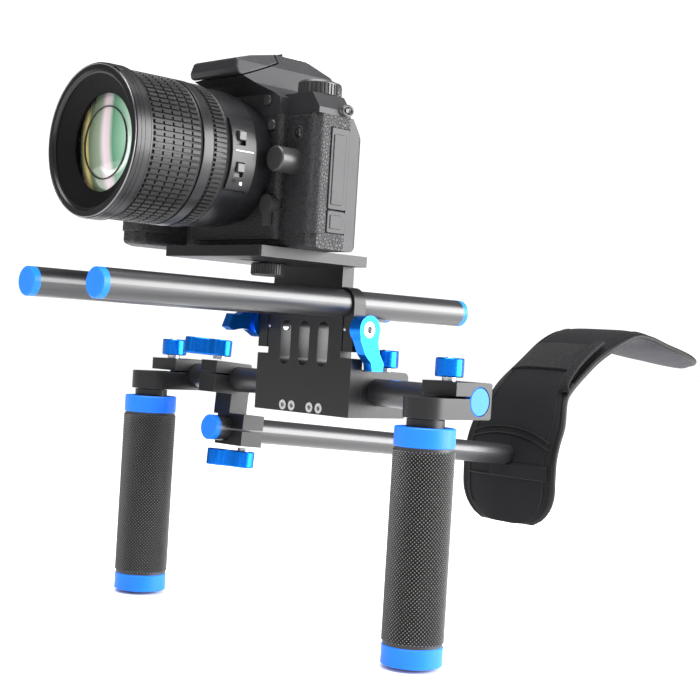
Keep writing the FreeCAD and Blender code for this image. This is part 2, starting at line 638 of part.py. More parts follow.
def camera_front_cover():
    left, right, front, split = s.body_left, s.body_right, s.body_front, s.body_split
    wall = s.shell
    plan = [(left, split), (left, front + 4), (left - 4, front), (s.grip_side, front),
            (s.grip_side - 5, s.grip_front + 4), (s.grip_side - 10, s.grip_front),
            (right + 10, s.grip_front), (right, s.grip_front + 10), (right, split)]
    inside = [(left - wall, split), (left - wall, front + 5), (left - 5, front + wall),
              (s.grip_side - wall, front + wall), (s.grip_side - 7, s.grip_front + 6),
              (s.grip_side - 11, s.grip_front + wall), (right + 11, s.grip_front + wall),
              (right + wall, s.grip_front + 11), (right + wall, split)]
    tall = s.body_top - s.body_base
    outer = prism("XY_Plane", plan, tall, (0, 0, s.body_base))
    outer = rounded(outer, 2.5, lambda edge: edge.BoundBox.ZMax < float(s.body_base) + 0.1
                    and edge.BoundBox.YMax < float(split) - 0.1)
    floor = 7.0
    hollow = prism("XY_Plane", inside, tall - floor, (0, 0, s.body_base + floor))
    panel = box((-s.panel_half, s.panel_front, s.body_base + 4), (s.panel_half, front, s.body_top))
    panel = rounded(panel, 3, runs_along("z", y=(float(s.panel_front), float(s.panel_front))))
    tools = [hollow, lens_opening(), tripod_socket()]
    tools += [cylinder(3.1, 4, (s.bracket_side, s.panel_front, s.bracket_height), "y")]
    tools += [cylinder(s.release_radius + 0.2, 12, (s.release_side, s.panel_front, s.lens_height), "y")]
    tools += [cylinder(5.3, 4, (s.focus_lever_side, s.panel_front, s.focus_lever_height), "y")]
    tools += [box((left - 1.6, split - 13.2, 34), (left + 1, split, 88))]
    tools += [box((right - 1, split - 27, 40), (right + 1.6, split, 86))]
    node("camera_front_cover", cut(fuse(outer, panel), *tools))


def camera_rear_cover():
    split, back, base, top = s.body_split, s.body_back, s.body_base, s.body_top
    side = [(split, base), (back - 4, base), (back, base + 4), (back, top - 12), (split + 2, top),
            (split, top)]
    outer = prism("YZ_Plane", side, s.body_left - s.body_right, (s.body_right, 0, 0))
    outer = rounded(outer, 4, runs_along("z", y=(float(back), float(back))))
    hollow = box((s.body_right + s.shell, split, base + 7),
                 (s.body_left - s.shell, back - s.shell, top - 14))
    tools = [hollow, tripod_socket()]
    tools += [cylinder(3.3, 7, (s.menu_side, back - 5, z), "y") for z in button_rows()]
    tools.append(cylinder(9.2, 8, (s.selector_side, back - 5, s.selector_height), "y"))
    tools.append(box((-62, split, 84.5), (-44, back + 1, 91)))
    node("camera_rear_cover", cut(outer, *tools))


def button_rows():
    return [42 + 10 * n for n in range(5)]


HUMP_SIDE = [(-57, 94), (-57, 105), (-63, 110), (-74, 113.5), (-75, 116), (-74, 121.5), (-62, 125),
             (-44, 128.7), (-22, 128.7), (-8, 122), (-6, 118), (-6, 102), (-20, 96), (-22, 94)]
HUMP_FRONT = [(-35, 94), (35, 94), (34, 103), (21, 110), (18.5, 120.5), (12.5, 128.7), (-12.5, 128.7),
              (-18.5, 120.5), (-21, 110), (-34, 103)]


def camera_hump():
    """The viewfinder housing: its side outline and its front outline cut from one block."""
    side = prism("YZ_Plane", HUMP_SIDE, 80, (-40, 0, 0))
    front = prism("XZ_Plane", HUMP_FRONT, 90, (0, -85, 0), backwards=True)
    return common(side, front)


def camera_top_cover():
    base = s.body_top
    left_deck = prism("XZ_Plane", [(14, base), (s.body_left, base), (s.body_left, base + 3),
                                   (s.body_left - 6, base + s.deck_rise), (14, base + s.deck_rise)],
                      s.body_split - s.body_front - 1, (0, s.body_front + 1, 0), backwards=True)
    right_deck = prism("XZ_Plane", [(-14, base), (-14, base + s.deck_rise), (s.body_right + 6, base + 7),
                                    (s.body_right, base + 2), (s.body_right, base)],
                       s.body_split - s.body_front + 4, (0, s.body_front + 1, 0), backwards=True)
    grip_side = [(s.body_front + 2, base), (s.grip_front + 2, base), (s.grip_front + 4, base + 5),
                 (s.body_front + 2, base + 5)]
    grip_top = prism("YZ_Plane", grip_side, 24, (s.body_right + 4, 0, 0))
    flash_space = prism("YZ_Plane", [(-80, 109), (-80, 135), (-44, 135), (-44, 123.4), (-62, 116)], 60,
                        (-30, 0, 0))
    shoe_space = box((-10.5, -37, 126.4), (10.5, -18, 131))
    tools = [flash_space, shoe_space, lens_opening()]
    tools.append(cylinder(2.2, 6, (s.dial_side, s.dial_centre, base + s.deck_rise - 5)))
    tools.append(cylinder(5.2, 9, (s.shutter_side, s.shutter_deep, base - 4)))
    tools.append(cylinder(3.1, 4, (s.flash_button_side, s.panel_front, s.flash_button_height), "y"))
    blank = fuse(left_deck, right_deck, grip_top, camera_hump())
    node("camera_top_cover", cut(blank, *tools))

    lid = common(camera_hump(), prism("YZ_Plane", [(-80, 109.6), (-80, 135), (-44.5, 135), (-44.5, 123.8),
                                                   (-62, 116.5)], 60, (-30, 0, 0)))
    node("popup_flash", lid)
    shoe = cut(box((-10.2, -36.8, 126.5), (10.2, -18.2, 130.6)),
               box((-9, -35.5, 128), (9, -18, 130)), box((-6.5, -35.5, 129), (6.5, -18, 131)))
    node("hot_shoe", shoe)


def camera_controls():
    deck = s.body_top + s.deck_rise
    dial_at = (s.dial_side, s.dial_centre, deck + 0.3)
    flutes = [cylinder(0.6, s.dial_tall - 1.5,
                       (s.dial_radius * math.cos(a), s.dial_radius * math.sin(a), 0))
              for a in (math.radians(12 * n) for n in range(30))]
    dial = turned([(0, -4.5), (2, -4.5), (2, 0), (s.dial_radius, 0), (s.dial_radius, s.dial_tall - 1),
                   (s.dial_radius - 1, s.dial_tall), (0, s.dial_tall)], (0, 0, 0))
    node("mode_dial", place(cut(dial, *flutes), dial_at))

    shutter = (s.shutter_side, s.shutter_deep, s.body_top - 2)
    node("power_ring", ring(5.4, 9.0, 3.0, (s.shutter_side, s.shutter_deep, s.body_top + 5.2)))
    node("shutter_button", turned([(0, 0), (5.0, 0), (5.0, 11.0), (4.0, 12.0), (0, 12.0)], shutter))
    node("rear_dial", turned([(0, 0), (8.5, 0), (8.5, 5), (0, 5)], (-53, s.body_back - 7.4, 85.2)))

    front = s.panel_front
    radius = s.release_radius
    node("lens_release_button", turned([(0, 0), (radius - 0.7, 0), (radius, 0.7), (radius, 16), (0, 16)],
                                       (s.release_side, s.release_tip, s.lens_height), "y"))
    x, z = s.focus_lever_side, s.focus_lever_height
    node("focus_mode_lever", fuse(cylinder(5.0, 6, (x, front - 3, z), "y"),
                                  box((x - 2, front - 3, z - 11), (x + 2, front - 0.2, z))))
    key = [(0, 0), (2.4, 0), (2.9, 0.5), (2.9, 4), (0, 4)]
    node("flash_button", turned(key, (s.flash_button_side, front - 1, s.flash_button_height), "y"))
    node("bracket_button", turned(key, (s.bracket_side, front - 1, s.bracket_height), "y"))

    split, left, right = s.body_split, s.body_left, s.body_right
    node("port_cover", box((left - 1.5, split - 13, 34.2), (left + 0.6, split - 0.2, 87.8)))
    node("card_door", box((right - 0.5, split - 26.8, 40.2), (right + 1.5, split - 0.2, 85.8)))
    back = s.body_back
    node("rear_screen", rounded(box((-30, back + 0.02, 34), (36, back + 2.4, 84)), 1.2, runs_along("y")))
    cup = cut(rounded(box((-17, -6, 103), (17, 2, 121)), 4, runs_along("y")),
              box((-10, -5, 106.5), (10, 3, 117.5)))
    node("eyecup", cup)
    keys = [turned([(0, 0), (2.6, 0), (3.0, 0.4), (3.0, 4.5), (0, 4.5)], (s.menu_side, back + 1, z), "-y")
            for z in button_rows()]
    node("menu_buttons", group(*keys))
    node("selector_pad", turned([(0, 0), (7, 0), (9, 1.2), (9, 6), (0, 6)],
                                (s.selector_side, back + 1.6, s.selector_height), "-y"))


# ---------------------------------------------------------------- lens

def lens():
    """Everything that is turned about the lens axis; local Z runs back along +Y."""
    height = s.lens_height
    def part(profile):
        return turned(profile, (0, 0, height), "y")
    face, play = s.mount_face, s.ring_play
    node("lens_mount", part([(s.mount_throat, face), (s.mount_ring, face), (s.mount_ring, face + 2.5),
                             (s.mount_throat, face + 2.5)]))
    core, inner, rear = s.barrel_core, s.barrel_inner, s.rear_barrel
    barrel = part([
        (inner, s.zoom_front), (core, s.zoom_front), (core, s.zoom_back), (s.zoom_radius, s.zoom_back),
        (s.zoom_radius, s.band_back), (core, s.band_back), (core, s.focus_back), (rear, s.focus_back),
        (rear, s.rear_barrel_end), (32, face - 0.1), (20, face - 0.1), (20, face - 3),
        (inner, face - 3)])
    panel_high = height + s.switch_panel_half
    panel = common(ring(rear - 1, s.switch_panel_radius, s.switch_panel_long,
                        (0, s.switch_panel_front, height), "y"),
                   box((0, s.switch_panel_front, height - s.switch_panel_half),
                       (s.switch_panel_radius, s.focus_back + s.barrel_inner, panel_high)))
    slide_low, slide_high = s.switch_front, s.switch_front + s.switch_long
    room = s.switch_half + s.switch_room
    pockets = [box((s.switch_floor, slide_low - s.switch_room, z - room - s.switch_travel),
                   (s.rim_radius + s.switch_half, slide_high + s.switch_room, z + room))
               for z in switch_heights()]
    node("lens_barrel", cut(fuse(barrel, panel), *pockets))
    node("zoom_ring", part([(core + play, s.zoom_front), (s.zoom_radius, s.zoom_front),
                            (s.zoom_radius, s.zoom_back - 0.2), (core + play, s.zoom_back - 0.2)]))
    node("focus_ring", part([(core + play, s.band_back + 0.2), (s.focus_radius, s.band_back + 0.2),
                             (s.focus_radius, s.focus_back - 0.2), (core + play, s.focus_back - 0.2)]))
    tube, wall = s.telescope, s.telescope_wall
    front = s.lens_front
    node("lens_front_barrel", part([
        (tube - wall, front + 9), (34.5, front), (s.rim_radius - 1, front), (s.rim_radius, front + 1),
        (s.rim_radius, s.zoom_front - 0.4), (tube, s.zoom_front - 0.4), (tube, s.telescope_back),
        (tube - wall, s.telescope_back)]))
    node("front_glass", part([(0, front + 7.5), (14, front + 8.6), (tube - wall - 0.05, front + 11.5),
                              (tube - wall - 0.05, front + 16), (0, front + 16)]))
    sliders = [box((s.switch_floor + s.switch_room, slide_low, z - s.switch_half),
                   (s.rim_radius, slide_high, z + s.switch_half)) for z in switch_heights()]
    node("lens_switches", group(*sliders))


def switch_heights():
    return s.lens_height + s.switch_upper, s.lens_height - s.switch_lower


def write_parts():
    doc.recompute()
    for thing in doc.Objects:
        if {"Invalid", "Error"} & set(thing.State):
            raise ValueError(f"{thing.Name} ({thing.Label}) is {thing.State}")
    os.makedirs("parts", exist_ok=True)
    for label, thing in NODES.items():
        shape = thing.Shape
        if shape.isNull() or not shape.isValid() or not shape.Solids:
            raise ValueError(f"{label} has no valid solid")
        shape.exportStep(f"parts/{label}.step")
        print(f"{label:24s} solids {len(shape.Solids)} volume {shape.Volume:10.1f}")


top_rods()
slotted_plate()
plate_screws()
rod_block()
camera_plate()
camera_thumbscrew()
ratchet_lever("left", 1, 0.0)
ratchet_lever("right", -1, float(s.lever_turn))
cross_start = s.cross_left_end - s.rod_length
node("cross_rod", rod(s.rod_length - 2 * s.cap_depth,
                      (cross_start + s.cap_depth, s.cross_deep, s.cross_height), "x"))
node("cross_rod_caps", group(rod_cap((cross_start, s.cross_deep, s.cross_height), "x"),
                             rod_cap((s.cross_left_end, s.cross_deep, s.cross_height), "-x")))
node("block_knob", clamp_knob((s.block_knob_side, s.block_knob_deep, s.block_top), 136))
handle("left", s.left_handle)
handle("right", s.right_handle)
shoulder_clamp()
shoulder_rod()
shoulder_pad()
camera_front_cover()
camera_rear_cover()
camera_top_cover()
camera_controls()
lens()
write_parts()
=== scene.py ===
"""Looks of a shoulder rig that carries a still camera on 15 mm rods.

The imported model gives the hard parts. This file gives every surface its finish and models what needs
finer shape: lens rings and glass, rubber grips, blue knobs and levers, camera skins and the neoprene pad.
Lengths are millimetres and become metres in mesh().
"""
import json
import math

import bmesh
import bpy
from mathutils import Matrix, Vector


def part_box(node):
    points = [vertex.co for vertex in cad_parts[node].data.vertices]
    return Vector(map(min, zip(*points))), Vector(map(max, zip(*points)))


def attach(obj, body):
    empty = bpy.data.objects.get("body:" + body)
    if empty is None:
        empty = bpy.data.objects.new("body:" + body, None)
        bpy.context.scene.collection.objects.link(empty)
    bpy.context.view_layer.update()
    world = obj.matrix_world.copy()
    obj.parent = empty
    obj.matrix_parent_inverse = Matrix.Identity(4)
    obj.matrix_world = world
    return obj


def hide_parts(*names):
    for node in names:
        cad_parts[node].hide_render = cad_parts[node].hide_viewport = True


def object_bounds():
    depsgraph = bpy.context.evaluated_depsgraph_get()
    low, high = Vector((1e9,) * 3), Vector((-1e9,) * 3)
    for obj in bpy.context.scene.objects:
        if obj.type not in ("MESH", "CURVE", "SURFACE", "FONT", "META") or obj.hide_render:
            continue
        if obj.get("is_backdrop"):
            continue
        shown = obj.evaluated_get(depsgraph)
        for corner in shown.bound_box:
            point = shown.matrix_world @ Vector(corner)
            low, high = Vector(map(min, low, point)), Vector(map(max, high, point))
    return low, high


MM = 0.001
TURN = 2 * math.pi

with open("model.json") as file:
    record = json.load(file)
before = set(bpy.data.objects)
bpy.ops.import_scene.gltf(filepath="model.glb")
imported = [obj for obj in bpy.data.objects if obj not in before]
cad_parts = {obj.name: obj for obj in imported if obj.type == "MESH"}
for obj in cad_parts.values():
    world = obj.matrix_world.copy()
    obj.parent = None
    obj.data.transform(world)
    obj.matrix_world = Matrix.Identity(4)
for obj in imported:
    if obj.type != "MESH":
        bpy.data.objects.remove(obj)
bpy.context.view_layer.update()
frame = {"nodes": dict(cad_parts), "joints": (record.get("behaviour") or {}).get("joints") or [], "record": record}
JOINTS = {joint["name"]: joint for joint in frame["joints"]}


def limits(node):
    """A part's lowest and highest corner in millimetres."""
    low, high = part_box(node)
    return low / MM, high / MM


LENS_HEIGHT = JOINTS["zoom_ring_turn"]["pos_m"][2] / MM
left_grip, right_grip = limits("handle_left_grip"), limits("handle_right_grip")
GRIP_RADIUS = (left_grip[1].x - left_grip[0].x) / 2
GRIP_MIDDLE = (left_grip[0].x + right_grip[1].x) / 2
GRIP_APART = left_grip[0].x + GRIP_RADIUS - GRIP_MIDDLE
GRIP_DEEP_AT = (left_grip[0].y + left_grip[1].y) / 2
GRIP_ROUND, GRIP_PITCH, KNURL_DEEP = 50, 2.0, 0.8

# ---------------------------------------------------------------- finishes

class Signal:
    """An output socket that can stand in sums like a number."""

    def __init__(self, finish, socket):
        self.finish = finish
        self.socket = socket

    def math(self, operation, *others):
        return self.finish.node("ShaderNodeMath", {"operation": operation}, [self, *others])

    def __add__(self, other): return self.math("ADD", other)
    def __radd__(self, other): return self.math("ADD", other)
    def __sub__(self, other): return self.math("SUBTRACT", other)
    def __rsub__(self, other): return self.finish.number(other).math("SUBTRACT", self)
    def __mul__(self, other): return self.math("MULTIPLY", other)
    def __rmul__(self, other): return self.math("MULTIPLY", other)
    def __truediv__(self, other): return self.math("DIVIDE", other)
    def __rtruediv__(self, other): return self.finish.number(other).math("DIVIDE", self)
    def __pow__(self, other): return self.math("POWER", other)

    def clamped(self):
        return self.finish.node("ShaderNodeClamp", {}, [self, 0.0, 1.0])


class Finish:
    """One material: constants go straight on the shader, what varies comes from Signals."""

    def __init__(self, name, **constants):
        self.material = bpy.data.materials.new(name)
        self.material.use_nodes = True
        self.tree = self.material.node_tree
        self.shader = self.tree.nodes["Principled BSDF"]
        self.fill(self.shader, {key.replace("_", " "): value for key, value in constants.items()})

    def fill(self, node, inputs):
        named = inputs.items() if isinstance(inputs, dict) else enumerate(inputs)
        for key, value in named:
            if isinstance(value, Signal):
                self.tree.links.new(value.socket, node.inputs[key])
            elif value is not None:
                node.inputs[key].default_value = value

    def node(self, kind, settings, inputs, output=0):
        made = self.tree.nodes.new(kind)
        for key, value in settings.items():
            if key == "stops":
                self.stops(made.color_ramp, value)
            else:
                setattr(made, key, value)
        self.fill(made, inputs)
        return Signal(self, made.outputs[output])

    def stops(self, ramp, stops):
        while len(ramp.elements) < len(stops):
            ramp.elements.new(1.0)
        for element, (place, colour) in zip(ramp.elements, stops):
            element.position = place
            element.color = (*colour, 1.0)

    def number(self, value):
        return self.node("ShaderNodeMath", {"operation": "ADD"}, [value, 0.0])

    def place(self):
        return self.node("ShaderNodeTexCoord", {}, {}, "Object")

    def axis(self, letter):
        return self.node("ShaderNodeSeparateXYZ", {}, [self.place()], letter.upper())

    def noise(self, size_mm, detail=3.0, stretch=None):
        place = self.place()
        if stretch:
            place = self.node("ShaderNodeVectorMath", {"operation": "MULTIPLY"}, [place, stretch])
        return self.node("ShaderNodeTexNoise", {}, {"Vector": place, "Scale": 1 / (size_mm * MM),
                                                    "Detail": detail}, "Fac")

    def cells(self, size_mm, feature="F1", output="Distance"):
        return self.node("ShaderNodeTexVoronoi", {"feature": feature},
                         {"Vector": self.place(), "Scale": 1 / (size_mm * MM)}, output)

    def blend(self, amount, first, second):
        mix = self.tree.nodes.new("ShaderNodeMix")
        mix.data_type = "RGBA"
        self.fill(mix, {0: amount, 6: colour(first), 7: colour(second)})
        return Signal(self, mix.outputs[2])

    def worn_edges(self, radius_mm=0.5):
        """One on a hard edge, zero on the flat: how far a rounded normal leans from the true one."""
        soft = self.node("ShaderNodeBevel", {"samples": 3}, [radius_mm * MM])
        true = self.node("ShaderNodeNewGeometry", {}, {}, "Normal")
        lean = self.node("ShaderNodeVectorMath", {"operation": "DOT_PRODUCT"}, [soft, true], "Value")
        return ((1.0 - lean) * 3.0).clamped()

    def bump(self, height, depth_mm, strength=1.0):
        made = self.node("ShaderNodeBump", {}, {"Height": height, "Distance": depth_mm * MM,
                                                "Strength": strength}, "Normal")
        self.set(Normal=made)

    def set(self, **signals):
        self.fill(self.shader, {key.replace("_", " "): value for key, value in signals.items()})
        return self


def colour(value):
    return value if isinstance(value, Signal) else (*value, 1.0)


def anodised(name, dark, light, rough, metal, grain_mm=0.35, depth_mm=0.012, shine=0.6):
    """Bead-blasted aluminium under a dyed oxide layer."""
    finish = Finish(name, Metallic=metal, Specular_IOR_Level=shine)
    grain, cloud = finish.noise(grain_mm, 4.0), finish.noise(26, 2.0)
    worn = finish.worn_edges()
    tone = finish.blend((0.55 * grain + 0.45 * cloud).clamped(), dark, light)
    bare = tuple(min(1.0, 0.10 + 1.5 * part) for part in light)
    finish.set(Base_Color=finish.blend(worn * 0.35, tone, bare), Roughness=rough + 0.12 * grain - 0.06 * worn)
    finish.bump(grain, depth_mm, 0.7)
    return finish


def drawn_tube(name):
    """Black rod stock, with the faint lengthwise lines of drawing."""
    finish = Finish(name, Metallic=0.2, Specular_IOR_Level=0.9, Coat_Weight=0.2, Coat_Roughness=0.30)
    lines = finish.noise(0.9, 3.0, (1.0, 0.04, 1.0))
    grain = finish.noise(0.4)
    finish.set(Base_Color=finish.blend(lines, (0.008, 0.008, 0.009), (0.022, 0.022, 0.025)),
               Roughness=0.30 + 0.10 * lines + 0.05 * grain)
    finish.bump(lines * 0.6 + grain * 0.4, 0.010, 0.6)
    return finish


def moulded(name, dark, light, rough, grain_mm, depth_mm, coat=0.0, shine=0.36):
    """Textured plastic or rubber: small pits under a slow change of tone."""
    finish = Finish(name, Coat_Weight=coat, Coat_Roughness=0.25, Specular_IOR_Level=shine)
    pits, cloud = finish.cells(grain_mm), finish.noise(18, 2.0)
    worn = finish.worn_edges(0.4)
    tone = finish.blend((0.5 * pits + 0.5 * cloud).clamped(), dark, light)
    finish.set(Base_Color=finish.blend(worn * 0.25, tone, tuple(3 * part for part in light)),
               Roughness=rough + 0.10 * cloud - 0.08 * worn)
    finish.bump(pits, depth_mm, 0.8)
    return finish


def leatherette(name):
    """The rubber skin of a camera: rounded grains with creases between them, the creases painted darker as painted
    shade.
    """
    finish = Finish(name, Specular_IOR_Level=0.4)
    crease = finish.cells(1.7, "DISTANCE_TO_EDGE")
    pore = finish.noise(0.5, 4.0)
    # Painted shade: the creases are painted darker than the tops of the grains.
    high = (crease * 5.0).clamped()
    finish.set(Base_Color=finish.blend(high, (0.003, 0.003, 0.004), (0.018, 0.018, 0.020)),
               Roughness=0.56 - 0.14 * high + 0.08 * pore)
    finish.bump(high * 0.8 + pore * 0.2, 0.20, 1.0)
    return finish


def neoprene(name, dark, light):
    """Foam rubber under a fine knit: crossed ribs, lint and a soft sheen."""
    finish = Finish(name, Sheen_Weight=0.03, Sheen_Roughness=0.45, Specular_IOR_Level=0.16)
    across = (finish.axis("x") * (TURN / (0.9 * MM))).math("SINE")
    along = ((finish.axis("y") + finish.axis("z")) * (TURN / (0.9 * MM))).math("SINE")
    knit = 0.5 + 0.25 * (across + along)
    cloud, lint = finish.noise(22, 3.0), finish.noise(0.5, 5.0)
    finish.set(Base_Color=finish.blend((0.45 * knit + 0.55 * cloud).clamped(), dark, light),
               Roughness=0.62 + 0.12 * lint + 0.06 * knit)
    finish.bump(0.7 * knit + 0.3 * lint, 0.07, 0.7)
    return finish


def hook_and_loop(name):
    """A mat of small loops."""
    finish = Finish(name, Sheen_Weight=0.04, Sheen_Roughness=0.6, Specular_IOR_Level=0.15)
    loops, fuzz = finish.cells(2.2), finish.noise(0.8, 6.0)
    finish.set(Base_Color=finish.blend((loops * 0.6 + fuzz * 0.4).clamped(), (0.002, 0.002, 0.002),
                                       (0.015, 0.015, 0.017)),
               Roughness=0.86 + 0.08 * fuzz)
    finish.bump(loops * 0.6 + fuzz * 0.4, 0.35, 1.0)
    return finish


def machined_steel(name, tint=0.62):
    finish = Finish(name, Metallic=1.0)
    rings, spots = finish.noise(0.5, 3.0, (1.0, 0.15, 1.0)), finish.noise(5, 3.0)
    finish.set(Base_Color=finish.blend(spots, (tint * 0.8,) * 3, (tint,) * 3),
               Roughness=0.22 + 0.14 * rings + 0.06 * spots)
    finish.bump(rings, 0.008, 0.6)
    return finish


def knurl_painted_highlight(name):
    """Black rubber whose diamond points carry a painted highlight, paler than the grooves between them, which
    carry painted shade.
    """
    finish = Finish(name, Specular_IOR_Level=0.7)
    aside = ((finish.axis("x") - GRIP_MIDDLE * MM).math("ABSOLUTE")) - GRIP_APART * MM
    deep = finish.axis("y") - GRIP_DEEP_AT * MM
    radius = (aside * aside + deep * deep).math("SQRT")
    point = ((radius - (GRIP_RADIUS - KNURL_DEEP) * MM) / (KNURL_DEEP * MM)).clamped() ** 3.0
    dust = finish.noise(9, 3.0)
    # Painted highlight on the diamond points and painted shade in the grooves: the colour follows the height of
    # the knurl.
    finish.set(Base_Color=finish.blend(point, (0.0015, 0.0015, 0.0015), (0.200, 0.197, 0.190)),
               Roughness=0.46 - 0.12 * point + 0.08 * dust)
    finish.bump(finish.noise(0.3), 0.02, 0.5)
    return finish


def coated_lens(name, reflection_bands):
    """Glass with painted reflections: the coating's tints painted as bands of colour across its width, and a
    painted highlight crescent.
    """
    finish = Finish(name, Coat_Weight=1.0, Coat_Roughness=0.02, Specular_IOR_Level=0.8)
    x, z = finish.axis("x"), finish.axis("z") - LENS_HEIGHT * MM
    drift = finish.noise(30, 1.0) * 0.10 - 0.05
    across = ((x + z * 0.16) / (50 * MM) + 0.5 + drift).clamped()
    # The coating's tints are painted in as coloured reflections, in bands across the width.
    tint = finish.node("ShaderNodeValToRGB", {"stops": reflection_bands}, [across], "Color")
    # Painted highlight: a pale crescent painted into the glass colour where a bright reflection would show.
    aside, below = x - 6 * MM, z + 2 * MM
    ring = ((aside * aside + below * below).math("SQRT") - 13 * MM).math("ABSOLUTE") / (1.7 * MM)
    painted_highlight_crescent = (1.0 - ring).clamped() * ((aside - below) / (12 * MM)).clamped()
    finish.set(Base_Color=finish.blend(painted_highlight_crescent, tint, (0.80, 0.92, 0.86)),
               Roughness=0.06 + 0.03 * finish.noise(3, 2.0))
    return finish


# Colours of the painted coloured reflections on the front glass, from one side to the other.
PAINTED_REFLECTION_BANDS = [(0.00, (0.02, 0.03, 0.02)), (0.09, (0.30, 0.26, 0.12)), (0.15, (0.55, 0.46, 0.16)),
              (0.22, (0.10, 0.13, 0.08)), (0.42, (0.20, 0.26, 0.18)), (0.50, (0.62, 0.50, 0.56)),
              (0.58, (0.52, 0.46, 0.46)), (0.64, (0.08, 0.22, 0.13)), (0.80, (0.22, 0.40, 0.28)),
              (0.92, (0.45, 0.58, 0.48)), (1.00, (0.04, 0.07, 0.05))]


F = {
    "black_anodised": anodised("black_anodised", (0.003, 0.003, 0.0035), (0.008, 0.008, 0.009), 0.34, 0.0,
                               shine=0.36),
    "rod_black": drawn_tube("rod_black"),
    "azure_cap": anodised("azure_cap", (0.000, 0.112, 0.720), (0.002, 0.190, 0.940), 0.38, 0.0,
                          shine=0.3),
    "azure_lever": anodised("azure_lever", (0.000, 0.105, 0.540), (0.000, 0.205, 0.840), 0.22, 0.85,
                            0.5, 0.003),
    "steel": machined_steel("steel"),
    "black_knurl": moulded("black_knurl", (0.010,) * 3, (0.040,) * 3, 0.36, 0.5, 0.02, 0.2),
    "grip_rubber": knurl_painted_highlight("grip_rubber"),
    "neoprene": neoprene("neoprene", (0.003, 0.003, 0.004), (0.008, 0.008, 0.010)),
    "neoprene_under": neoprene("neoprene_under", (0.015, 0.015, 0.021), (0.030, 0.030, 0.040)),
    "hook_loop": hook_and_loop("hook_loop"),
    "stiffener": machined_steel("stiffener", 0.5),
    "camera_shell": moulded("camera_shell", (0.010, 0.010, 0.011), (0.024, 0.024, 0.027), 0.42, 0.35, 0.03),
    "camera_leatherette": leatherette("camera_leatherette"),
    "camera_controls": moulded("camera_controls", (0.014,) * 3, (0.038,) * 3, 0.32, 0.4, 0.015, 0.25),
    "lens_black": moulded("lens_black", (0.003, 0.003, 0.004), (0.009, 0.009, 0.010), 0.30, 0.3, 0.012, 0.1),
    "lens_recess": moulded("lens_recess", (0.001,) * 3, (0.003,) * 3, 0.60, 0.4, 0.02, shine=0.15),
    "lens_rubber": moulded("lens_rubber", (0.003,) * 3, (0.010,) * 3, 0.38, 0.5, 0.03),
    "coated_glass": coated_lens("coated_glass", PAINTED_REFLECTION_BANDS),
    "screen_glass": moulded("screen_glass", (0.004,) * 3, (0.012,) * 3, 0.08, 6.0, 0.001, 1.0),
    "mount_steel": machined_steel("mount_steel", 0.24),
    "piping": moulded("piping", (0.002,) * 3, (0.006,) * 3, 0.5, 0.8, 0.05, shine=0.25),
}
SLOTS = {row["node"]: row["material_slot"] for row in frame["record"]["subparts"]}


# ---------------------------------------------------------------- meshes

def mesh(name, points, faces, finish, body, slot=None, stands_for=(), sharp=35.0, soften=0.0):
    """A finished piece from points in millimetres: closed, outward-facing, shaded, riding on its body."""
    data = bpy.data.meshes.new(name)
    data.from_pydata([Vector(point) * MM for point in points], [], faces)
    work = bmesh.new()
    work.from_mesh(data)
    bmesh.ops.remove_doubles(work, verts=work.verts, dist=0.002 * MM)
    bmesh.ops.dissolve_degenerate(work, edges=work.edges, dist=0.001 * MM)
    bmesh.ops.recalc_face_normals(work, faces=work.faces)
    work.to_mesh(data)
    work.free()
    data.polygons.foreach_set("use_smooth", [True] * len(data.polygons))
    data.set_sharp_from_angle(angle=math.radians(sharp))
    data.materials.append(F[finish].material)
    piece = bpy.data.objects.new(name, data)
    bpy.context.scene.collection.objects.link(piece)
    if soften:
        bevel(piece, soften)
    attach(piece, body)
    if stands_for:
        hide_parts(*stands_for)
    return piece


def bevel(piece, width_mm, angle=35.0):
    rounding = piece.modifiers.new("edges", "BEVEL")
    rounding.width = width_mm * MM
    rounding.segments = 2
    rounding.limit_method = "ANGLE"
    rounding.angle_limit = math.radians(angle)
    rounding.use_clamp_overlap = True
    piece.modifiers.new("shading", "WEIGHTED_NORMAL").keep_sharp = True


def joined(*parts):
    """Several (points, faces) lists as one."""
    points, faces = [], []
    for more, rings in parts:
        start = len(points)
        points += more
        faces += [[start + n for n in ring] for ring in rings]
    return points, faces


def lathe(profile, segments=128, centre=(0, 0), along="y", whole=True):
    """Turn (radius, distance) corners about an axis parallel to Y or Z; whole closes the profile."""
    count = len(profile)
    points = []
    for n in range(segments):
        c, s = math.cos(TURN * n / segments), math.sin(TURN * n / segments)
        for radius, far in profile:
            u, v = centre[0] + radius * c, centre[1] + radius * s
            points.append((u, far, v) if along == "y" else (u, v, far))
    faces = []
    for n in range(segments):
        a, b = n * count, (n + 1) % segments * count
        for k in range(count if whole else count - 1):
            m = (k + 1) % count
            faces.append([a + k, a + m, b + m, b + k])
    return points, faces


def slab(outline, low, high, lift=lambda u, v, w: (u, v, w)):
    """A flat outline given thickness; lift() says how its (u, v, w) stand in space."""
    count = len(outline)
    points = [lift(u, v, w) for w in (low, high) for u, v in outline]
    faces = [list(range(count))[::-1], list(range(count, 2 * count))]
    faces += [[n, (n + 1) % count, count + (n + 1) % count, count + n] for n in range(count)]
    return points, faces


def rounded_box(width, height, radius, steps=5, centre=(0, 0)):
    """The outline of a rectangle with round corners."""
    points = []
    for corner, (sx, sy) in enumerate(((1, 1), (-1, 1), (-1, -1), (1, -1))):
        for n in range(steps + 1):
            angle = (corner + n / steps) * TURN / 4
            points.append((centre[0] + sx * (width / 2 - radius) + radius * math.cos(angle),
                           centre[1] + sy * (height / 2 - radius) + radius * math.sin(angle)))
    return points


